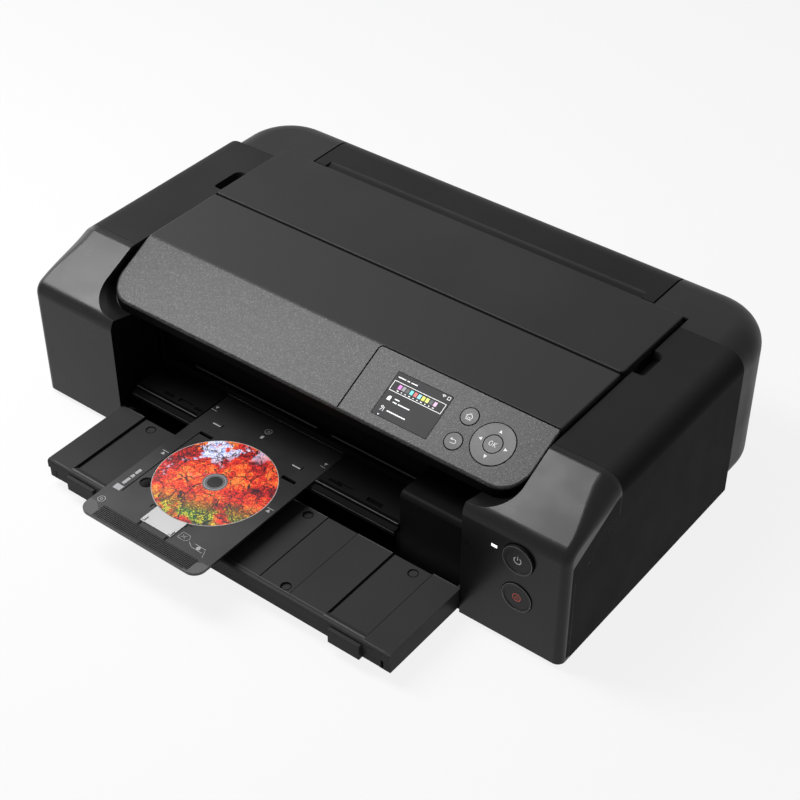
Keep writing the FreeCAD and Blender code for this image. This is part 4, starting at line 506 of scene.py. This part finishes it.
class Trims(Piece):
    """Bars with rounded edges running across the machine, gathered into one piece."""

    def bar(self, x0, x1, y, z, wide, high, soft=0.3):
        """A bar from x0 to x1 whose section is wide by high around (y, z)."""
        section = []
        for cy, cz, start in ((wide / 2 - soft, high / 2 - soft, 0),
                              (soft - wide / 2, high / 2 - soft, 90),
                              (soft - wide / 2, soft - high / 2, 180),
                              (wide / 2 - soft, soft - high / 2, 270)):
            for step in range(4):
                turn = math.radians(start + 30 * step)
                section.append((y + cy + soft * math.cos(turn), z + cz + soft * math.sin(turn)))
        rings = [[self.vertex(machine(x, py, pz)) for py, pz in section] for x in (x0, x1)]
        for index in range(len(section)):
            after = (index + 1) % len(section)
            self.face(rings[0][index], rings[0][after], rings[1][after], rings[1][index])
        self.face(*reversed(rings[0]))
        self.face(*rings[1])


INK_BARS = (("magenta", 91.0), ("grey", 95.3), ("dark", 99.6), ("cyan", 104.0), ("red", 108.4),
            ("sky", 112.8), ("yellow", 117.2), ("lime", 121.6), ("dark", 126.0), ("pink", 130.4))


def screen_contents():
    """A generic ready page: header, framed row of ink levels and two menu rows."""
    white = Marks("screen_marks", on_slope)
    white.bar(83.5, 52.2, 92.0, 53.2)
    white.bar(93.5, 52.2, 96.5, 53.2)
    white.bar(98.0, 52.2, 105.0, 53.2)
    for radius in (1.0, 2.0, 3.0):
        white.arc(133.0, 53.2, radius, 0.5, 50, 130, 6)
    white.line([(137.4, 53.2), (140.0, 53.2), (140.0, 56.2), (137.4, 56.2)], 0.5, True)
    white.line([(82.6, 38.2), (139.8, 38.2), (139.8, 48.4), (82.6, 48.4)], 0.55, True)
    for index, (tone, x) in enumerate(INK_BARS):
        width = 1.3 if index % 3 else 2.0
        white.bar(x - width / 2, 39.6, x + width / 2, 40.5)
        level = Marks("ink_level_%d" % index, on_slope)
        level.bar(x - 1.6, 42.0, x + 1.6, 46.4)
        level.done("lid", SCREEN_LIT[tone])
    white.shape([(86.0, 28.6), (89.6, 28.6), (89.6, 33.2), (87.2, 33.2), (86.0, 32.0)])
    white.bar(93.2, 31.6, 98.6, 32.7)
    white.bar(93.2, 28.2, 97.6, 29.3)
    white.bar(99.2, 28.2, 112.0, 29.3)
    white.line([(86.4, 17.2), (88.6, 20.4)], 0.5)
    white.line([(89.4, 17.0), (89.4, 21.2)], 0.5)
    white.arc(87.0, 21.0, 1.0, 0.45, 0, 360, 12)
    white.bar(93.2, 18.4, 113.6, 19.6)
    white.shape([(86.6, 13.2), (87.8, 11.8), (89.0, 13.2)])
    white.done("lid", SCREEN_LIT["white"])


def key_signs():
    """House, back arrow, four direction triangles and the middle key's word."""
    x, v = KEY_X, HOME_V
    home = Marks("home_sign", on_slope, KEY_PROUD)
    home.line([(x - 3.4, v - 0.2), (x, v + 3.2), (x + 3.4, v - 0.2)], 0.6)
    home.line([(x - 2.5, v - 0.4), (x - 2.5, v - 3.2), (x + 2.5, v - 3.2), (x + 2.5, v - 0.4)], 0.6)
    home.line([(x - 0.9, v - 3.2), (x - 0.9, v - 0.9), (x + 0.9, v - 0.9), (x + 0.9, v - 3.2)], 0.5)
    home.done("home_key", WHITE_INK)
    v = BACK_V
    back = Marks("back_sign", on_slope, KEY_PROUD)
    back.line([(x - 2.6, v + 1.4), (x + 1.0, v + 1.4)], 0.6)
    back.arc(x + 1.0, v - 0.4, 1.8, 0.6, -90, 90, 12)
    back.line([(x + 1.0, v - 2.2), (x - 2.0, v - 2.2)], 0.6)
    back.shape([(x - 3.8, v + 1.4), (x - 2.0, v + 0.1), (x - 2.0, v + 2.7)])
    back.done("back_key", WHITE_INK)
    x, v, reach, size = RING_X, RING_V, 13.6, 1.7
    ring = Marks("ring_signs", on_slope, KEY_PROUD)
    for turn in range(4):
        angle = math.radians(90 * turn)
        out = Vector((math.cos(angle), math.sin(angle)))
        side = Vector((-math.sin(angle), math.cos(angle)))
        middle = Vector((x, v)) + out * reach
        ring.shape([tuple(middle + out * size), tuple(middle - out * size + side * size),
                    tuple(middle - out * size - side * size)])
    ring.done("ring_key", WHITE_INK)
    ok = Marks("ok_sign", on_slope, KEY_PROUD)
    ok.line([(x - 3.6, v - 1.2), (x - 3.6, v + 1.2), (x - 2.9, v + 2.0), (x - 1.5, v + 2.0),
             (x - 0.8, v + 1.2), (x - 0.8, v - 1.2), (x - 1.5, v - 2.0), (x - 2.9, v - 2.0)],
            0.6, True)
    ok.line([(x + 0.9, v - 2.0), (x + 0.9, v + 2.0)], 0.6)
    ok.line([(x + 3.3, v + 2.0), (x + 1.1, v + 0.1), (x + 3.4, v - 2.0)], 0.6)
    ok.done("ok_key", WHITE_INK)


def button_signs():
    """Power sign in white and a ringed triangle in red, in the buttons' dished faces."""
    power = Marks("power_sign", on_cap, POWER_PROUD - BUTTON_DISH)
    power.arc(BUTTON_X, POWER_Z, 3.6, 0.8, 125, 415, 30)
    power.line([(BUTTON_X, POWER_Z + 0.6), (BUTTON_X, POWER_Z + 4.6)], 0.8)
    power.done("power_key", WHITE_INK)
    stop = Marks("stop_sign", on_cap, STOP_PROUD - BUTTON_DISH)
    stop.arc(BUTTON_X, STOP_Z, 4.0, 0.8)
    stop.line([(BUTTON_X - 1.9, STOP_Z - 1.3), (BUTTON_X + 1.9, STOP_Z - 1.3),
               (BUTTON_X, STOP_Z + 2.0)], 0.6, True)
    stop.done("stop_key", RED_INK)


def disc_tray_marks():
    """Handling signs on the disc tray, all generic: arrows, a strip, a circle and a sketch."""
    white = Marks("disc_tray_signs", on_level(DISC_TRAY_TOP))
    for x, y in ((-111.5, -36.5), (21.5, -36.5)):
        white.line([(x - 4.0, y), (x + 4.0, y)], 0.7)
        white.shape([(x - 2.4, y - 5.0), (x + 2.4, y - 5.0), (x, y - 1.2)])
    white.arc(-111.8, -121.8, 3.6, 0.6)
    white.arc(-111.8, -121.8, 1.1, 0.6, 0, 360, 12)
    white.shape([(-115.6, -104.0), (-107.0, -104.0), (-107.0, -97.0), (-115.6, -97.0)])
    for y0, y1 in ((-94.5, -85.0), (-83.5, -79.0), (-77.5, -70.0)):
        white.bar(-113.0, y0, -109.6, y1)
    x, y = -11.0, -117.0
    white.line([(x - 10, y + 1), (x - 1, y + 1), (x + 1.5, y + 5), (x - 1, y + 9),
                (x - 10, y + 9)], 0.45, True)
    white.line([(x - 8, y + 3), (x - 3, y + 7)], 0.45)
    white.line([(x - 8, y + 7), (x - 3, y + 3)], 0.45)
    white.line([(x + 3, y + 3), (x + 9, y - 1), (x + 22, y - 1)], 0.45)
    white.line([(x + 9, y + 4), (x + 22, y + 4), (x + 26, y - 5)], 0.45)
    white.spot(x + 15.5, y + 1.5, 2.2, 20)
    white.done("disc_carrier", GREY_INK)


def guide_marks():
    """Small signs on the disc tray where it goes in under the front beam."""
    white = Marks("guide_signs", on_level(DISC_TRAY_TOP))
    for x in (-117.0, 22.0):
        white.line([(x - 3.0, 38.0), (x + 3.0, 38.0)], 0.6)
        white.shape([(x - 2.2, 44.0), (x, 40.6), (x + 2.2, 44.0)])
    white.arc(-52.5, 45.5, 3.6, 0.5)
    white.arc(-52.5, 45.5, 1.1, 0.5, 0, 360, 12)
    white.bar(-53.6, 33.5, -50.6, 37.5)
    white.done("disc_carrier", GREY_INK)


def seams():
    """The dark joints round the operation panel and its keys, and painted highlights on the power
    and stop buttons' rims.
    """
    panel = Marks("panel_seam", on_slope, -0.25, 0.29)
    panel.bar(47.8, 1.6, 49.4, 69.4)
    panel.line([(48.6, 69.0), (49.4, 71.6), (51.2, 73.0), (53.4, 73.4)], 1.4)
    panel.bar(53.0, 72.7, 245.6, 74.1)
    panel.done("lid", SEAM_AND_SHADE)
    edge = Marks("panel_edge", on_slope, 0.0, 0.03)
    edge.bar(49.4, 69.4, 245.2, 71.2)
    edge.bar(49.4, 65.4, 54.0, 69.4)
    edge.done("lid", PANEL)
    frame_line = Marks("screen_seam", on_slope, *FILM)
    frame_line.line([(SCREEN_LEFT, SCREEN_FOOT), (SCREEN_RIGHT, SCREEN_FOOT),
                     (SCREEN_RIGHT, SCREEN_TOP), (SCREEN_LEFT, SCREEN_TOP)], 0.5, True)
    frame_line.done("lid", SEAM_AND_SHADE)
    rings = Marks("key_seams", on_slope, *FILM)
    for x, v, radius in ((KEY_X, HOME_V, KEY_RADIUS), (KEY_X, BACK_V, KEY_RADIUS),
                         (RING_X, RING_V, RING_RADIUS)):
        rings.arc(x, v, radius + 0.3, 1.1, 0, 360, 48)
    rings.done("lid", SEAM_AND_SHADE)
    inner = Marks("ok_seam", on_slope, KEY_PROUD + 0.01, 0.04)
    inner.arc(RING_X, RING_V, 9.2, 0.6, 0, 360, 40)
    inner.done("ring_key", SEAM_AND_SHADE)
    rims = Marks("button_seams", on_cap, *FILM)
    for z in (POWER_Z, STOP_Z):
        rims.arc(BUTTON_X, z, 15.9, 0.6, 0, 360, 56)
    rims.done("housing", SEAM_AND_SHADE)
    sides = Marks("lid_side_seams", on_level(COVER_TOP), 0.0, 0.03)
    for x in (-LID_HALF - 0.9, LID_HALF + 0.9):
        sides.bar(x - 0.6, 97.0, x + 0.6, 197.0)
        sides.bar(x - 0.4, 246.0, x + 0.4, 289.0)
    sides.done("housing", SEAM_AND_SHADE)
    # painted highlight: a thin pale ring on top of each button's rim
    for name, z, proud, body in (("power_rim_highlight", POWER_Z, POWER_PROUD, "power_key"),
                                 ("stop_rim_highlight", STOP_Z, STOP_PROUD, "stop_key")):
        rim = Marks(name, on_cap, proud + 0.01, 0.03)
        rim.arc(BUTTON_X, z, 14.9, 0.3, 0, 360, 72)
        rim.done(body, RIM_HIGHLIGHT)


def cap_sides():
    """The matt outer faces of the front caps, in the end covers' finish."""
    outline = [(8.3, 8.0), (13.8, 8.0), (13.8, 95.8), (79.2, 128.0), (79.2, 150.0),
               (72.0, 148.5), (8.3, 117.0)]
    for word, side in (("left", -1), ("right", 1)):
        face = Marks(word + "_cap_side", on_side(side), 0.0, 0.01)
        face.shape(outline if side > 0 else outline[::-1])
        face.done("housing", SIDE)


def lid_lip():
    """The plain dark band round the lid's edge, below the pearl face."""
    gap = 0.2                          # the band stands this far off the lid
    edge, radius = LID_HALF + gap, LID_CORNER + gap
    outline = [(-edge, y) for y in (96.0, 80.0, 68.0)]
    for side, first in ((-1, 180), (1, 270)):
        for step in range(25):
            turn = math.radians(first + 3.75 * step)
            outline.append((side * (LID_HALF - LID_CORNER) + radius * math.cos(turn),
                            LID_LOW_Y + LID_CORNER + radius * math.sin(turn)))
    outline += [(edge, y) for y in (68.0, 80.0, 96.0)]
    band = Piece("lid_lip")
    rows = []
    for x, y in outline:
        rise = LID_LOW_Z + math.tan(SLOPE) * (y - LID_LOW_Y)
        inward = Vector((-x, 90.0 - y)).normalized() * 0.1
        rows.append([band.vertex(machine(x + inward.x * k, y + inward.y * k, rise - drop))
                     for k, drop in ((3, 10.9), (0, 10.7), (0, 6.0), (0, 2.6), (3, 2.4))])
    for one, two in zip(rows, rows[1:]):
        for index in range(len(one) - 1):
            band.face(one[index], two[index], two[index + 1], one[index + 1])
    band.done("lid", INNER)


def mouth_trims():
    """Rails inside the mouth, with painted highlights along the guide's lips and painted shade in
    its slots and grooves and beside the beam's rails.
    """
    light = Trims("mouth_rails")
    for x0, x1 in BEAM_BAYS:
        light.bar(x0, x1, 68.2, 62.0, 2.2, 2.2, 1.0)
    light.done("housing", RAIL)
    # painted highlights: pale bars along the guide's front edges and along the edge of the bridge
    # over the disc tray
    lip_highlights = Trims("guide_lip_highlights")
    for x0, x1 in ((GUIDE_LEFT, -122.0), (29.0, GUIDE_RIGHT)):
        lip_highlights.bar(x0 + 1, x1 - 0.5, 18.5, 51.0, 0.9, 0.5, 0.2)
        lip_highlights.bar(x0 + 1, x1 - 0.5, 12.1, 45.0, 0.5, 0.9, 0.2)
    lip_highlights.bar(-120.0, 27.0, 61.8, 53.6, 0.4, 0.6, 0.15)
    lip_highlights.done("housing", EDGE_HIGHLIGHT)
    # painted shade: black strips in the groove behind the guide's lip and in its slots
    dark = Marks("guide_slot_shade", on_level(GUIDE_TOP), *FILM)
    for x0, x1 in ((GUIDE_LEFT, -122.5), (29.5, GUIDE_RIGHT)):
        dark.bar(x0 + 2, 20.0, x1 - 1, 22.6)
    for x0, x1 in ((-174.0, -161.0), (-133.5, -123.5), (38.0, 51.5), (85.5, 100.0)):
        dark.bar(x0, 26.0, x1, 29.6)
    dark.done("housing", SEAM_AND_SHADE)
    # painted shade: black strips either side of each rail on the front beam
    groove_shade = Marks("beam_groove_shade", on_level(BEAM_TOP), *FILM)
    for x0, x1 in BEAM_BAYS:
        groove_shade.bar(x0, 65.6, x1, 66.8)
        groove_shade.bar(x0, 69.6, x1, 70.8)
    groove_shade.done("housing", SEAM_AND_SHADE)


def tray_corners():
    """The disc tray's pale front corners and tab faces, and painted shade between its grip ribs and
    along its pocket's left edge.
    """
    pale = Marks("disc_tray_corners", on_level(DISC_TRAY_TOP), *THIN_FILM)
    for side in (-1, 1):
        outline = [(57.0, -143.6), (62.3, -143.6)]
        for step in range(1, 7):
            turn = math.radians(-90 + 15 * step)
            outline.append((62.3 + 11.8 * math.cos(turn), -131.8 + 11.8 * math.sin(turn)))
        outline += [(74.1, -127.0), (66.0, -127.0), (57.0, -134.0)]
        points = [(DISC_TRAY_X + side * x, y) for x, y in outline]
        pale.shape(points if side > 0 else points[::-1])
    pale.done("disc_carrier", CLEAR)
    # painted shade: black strips between the grip ribs, and a black stroke along the groove at the
    # pocket's left edge
    rib_shade = Marks("grip_shadows", on_level(DISC_TRAY_TOP), *THIN_FILM)
    for index in range(8):
        y = -140.85 + 1.9 * index
        rib_shade.bar(-103.2, y, 14.8, y + 0.95)
    rib_shade.line([(-104.9, -100.0), (-104.9, 3.5)], 0.9)
    rib_shade.done("disc_carrier", SEAM_AND_SHADE)
    faces = Marks("tab_faces", on_level(TAB_TOP), *THIN_FILM)
    for x in (-98.7, 2.8):
        faces.bar(x - 5.0, 21.2, x + 5.0, 22.6)
    faces.done("disc_carrier", GREY_INK)


def output_tray_lines():
    """Painted shade along the output tray's step and channel walls and round its holes, and painted
    highlights along its lips.
    """
    # painted shade: dark strips at the foot of the tray's step and channel walls
    shades = (
        ("step", TRAY_STEP, [(57.0, -95.0, 57.8, 2.8), (92.2, -95.0, 93.0, 2.8)]),
        ("channel", TRAY_CHANNEL, [(134.0, -89.5, 136.0, 2.8), (178.0, -89.5, 180.0, 2.8)]))
    for word, level, bars in shades:
        dark = Marks("tray_%s_lines" % word, on_level(level), *FILM)
        for x0, y0, x1, y1 in bars:
            dark.bar(x0, y0, x1, y1)
            dark.bar(-x1, y0, -x0, y1)
        dark.done("paper_tray", SEAM_AND_SHADE)
    # painted shade: dark rings round the tray's holes
    rims = ((84.0, -89.0, TRAY_STEP), (40.0, -6.0, TRAY_MIDDLE), (163.5, -6.0, TRAY_CHANNEL))
    for index, (x, y, level) in enumerate(rims):
        hole_shade = Marks("tray_hole_rim_%d" % index, on_level(level), *FILM)
        for side in (-1, 1):
            hole_shade.arc(side * x, y, 4.9, 0.8, 0, 360, 24)
        hole_shade.done("paper_tray", SEAM_AND_SHADE)
    # painted highlights: pale strips along the tray's front and rear lips
    lip_highlights = Marks("tray_lip_highlights", on_level(TRAY_LIP), *FILM)
    for side in (-1, 1):
        for x0, x1, y0, y1 in ((0.0, 134.0, -95.8, -95.1), (134.0, 180.0, -96.9, -95.1),
                               (180.0, 204.0, -98.6, -98.0), (180.5, 206.0, 2.0, 2.7)):
            low, high = sorted((side * x0, side * x1))
            lip_highlights.bar(low, y0, high, y1)
    lip_highlights.done("paper_tray", EDGE_HIGHLIGHT)
    rear_lip_highlights = Marks("tray_rear_lip_highlights", on_level(TRAY_MIDDLE), *FILM)
    for x0, x1 in ((-133.8, -93.2), (93.2, 133.8), (-56.8, 56.8)):
        rear_lip_highlights.bar(x0, 2.0, x1, 2.7)
    rear_lip_highlights.done("paper_tray", EDGE_HIGHLIGHT)


screen_contents()
key_signs()
seams()
cap_sides()
lid_lip()
output_tray_lines()
mouth_trims()
tray_corners()
button_signs()
disc_tray_marks()
guide_marks()


# ---------------------------------------------------------------- stage
FLOOR_SHADE, FLOOR_SEEN = 0.58, 0.86   # as lit by the lamps, and share seen as plain white
WORLD_LEVEL = 0.18                     # of the light that falls from all round
PHOTO_PX, FOCAL_PX = 800, 1707.88
YAW, PITCH, ROLL = math.radians(37.626), math.radians(39.164), math.radians(-0.08)
CAMERA_AT = machine(822.0, -879.9, 1121.9)


def studio():
    """A pale floor and a pale world that both look white but light the machine softly."""
    stage_mesh = bpy.data.meshes.new("studio_floor")
    build = bmesh.new()
    corners = [build.verts.new((x, y, -0.0005)) for x, y in ((-9, -9), (9, -9), (9, 9), (-9, 9))]
    build.faces.new(corners)
    build.to_mesh(stage_mesh)
    build.free()
    floor = bpy.data.objects.new("studio_floor", stage_mesh)
    bpy.context.scene.collection.objects.link(floor)
    material = bpy.data.materials.new("studio_floor")
    material.use_nodes = True
    tree = material.node_tree
    shader = tree.nodes["Principled BSDF"]
    shader.inputs["Base Color"].default_value = (FLOOR_SHADE, FLOOR_SHADE, FLOOR_SHADE, 1)
    shader.inputs["Roughness"].default_value = 0.9
    glow = tree.nodes.new("ShaderNodeEmission")
    glow.inputs["Strength"].default_value = 1.0
    blend = tree.nodes.new("ShaderNodeMixShader")
    tree.links.new(seen_directly(tree, FLOOR_SEEN), blend.inputs[0])
    tree.links.new(shader.outputs[0], blend.inputs[1])
    tree.links.new(glow.outputs[0], blend.inputs[2])
    tree.links.new(blend.outputs[0], tree.nodes["Material Output"].inputs["Surface"])
    floor.data.materials.append(material)
    world = bpy.data.worlds.new("studio_world")
    bpy.context.scene.world = world
    world.use_nodes = True
    tree = world.node_tree
    back = tree.nodes["Background"]
    back.inputs["Color"].default_value = (WORLD_LEVEL, WORLD_LEVEL, WORLD_LEVEL, 1)
    white = tree.nodes.new("ShaderNodeBackground")
    white.inputs["Strength"].default_value = 1.0
    blend = tree.nodes.new("ShaderNodeMixShader")
    tree.links.new(seen_directly(tree, 1.0), blend.inputs[0])
    tree.links.new(back.outputs[0], blend.inputs[1])
    tree.links.new(white.outputs[0], blend.inputs[2])
    tree.links.new(blend.outputs[0], tree.nodes["World Output"].inputs["Surface"])


def seen_directly(tree, share):
    """share for what the camera, a reflection or glass sees, and 0 for light that bounces."""
    path = tree.nodes.new("ShaderNodeLightPath")
    total = path.outputs["Is Camera Ray"]
    for name in ("Is Glossy Ray", "Is Transmission Ray"):
        larger = tree.nodes.new("ShaderNodeMath")
        larger.operation = "MAXIMUM"
        tree.links.new(total, larger.inputs[0])
        tree.links.new(path.outputs[name], larger.inputs[1])
        total = larger.outputs[0]
    fade = tree.nodes.new("ShaderNodeMath")
    fade.operation = "MULTIPLY"
    fade.inputs[1].default_value = share
    tree.links.new(total, fade.inputs[0])
    return fade.outputs[0]


def lamp(name, at, aim, size, power):
    """An area lamp; its size is given along the shared frame's y and then along x."""
    data = bpy.data.lights.new(name, "AREA")
    data.shape = "RECTANGLE"
    data.size, data.size_y = size
    data.energy = power
    obj = bpy.data.objects.new(name, data)
    obj.location = at
    obj.rotation_euler = (Vector(aim) - Vector(at)).to_track_quat("-Z", "Y").to_euler()
    bpy.context.scene.collection.objects.link(obj)


def camera():
    """The photograph's own camera, fitted to its straight edges."""
    data = bpy.data.cameras.new("camera")
    data.sensor_width = 36.0
    data.lens = data.sensor_width * FOCAL_PX / PHOTO_PX
    data.clip_start = 0.05
    data.clip_end = 50
    obj = bpy.data.objects.new("camera", data)
    look = Vector((-math.sin(YAW) * math.cos(PITCH), math.cos(YAW) * math.cos(PITCH),
                   -math.sin(PITCH)))
    turn = look.to_track_quat("-Z", "Y").to_matrix().to_4x4()
    obj.matrix_world = (Matrix.Translation(CAMERA_AT) @ turn
                        @ Matrix.Rotation(-ROLL, 4, "Z"))
    bpy.context.scene.collection.objects.link(obj)
    bpy.context.scene.camera = obj


studio()
camera()
lamp("softbox", (-0.64, -0.26, 1.25), (0, -0.05, 0.12), (0.42, 1.05), 26)
lamp("side_panel", (-1.45, 0.10, 0.66), (-0.2, -0.05, 0.1), (1.1, 1.0), 7)
bpy.context.scene.view_settings.view_transform = "Standard"

bpy.context.view_layer.update()
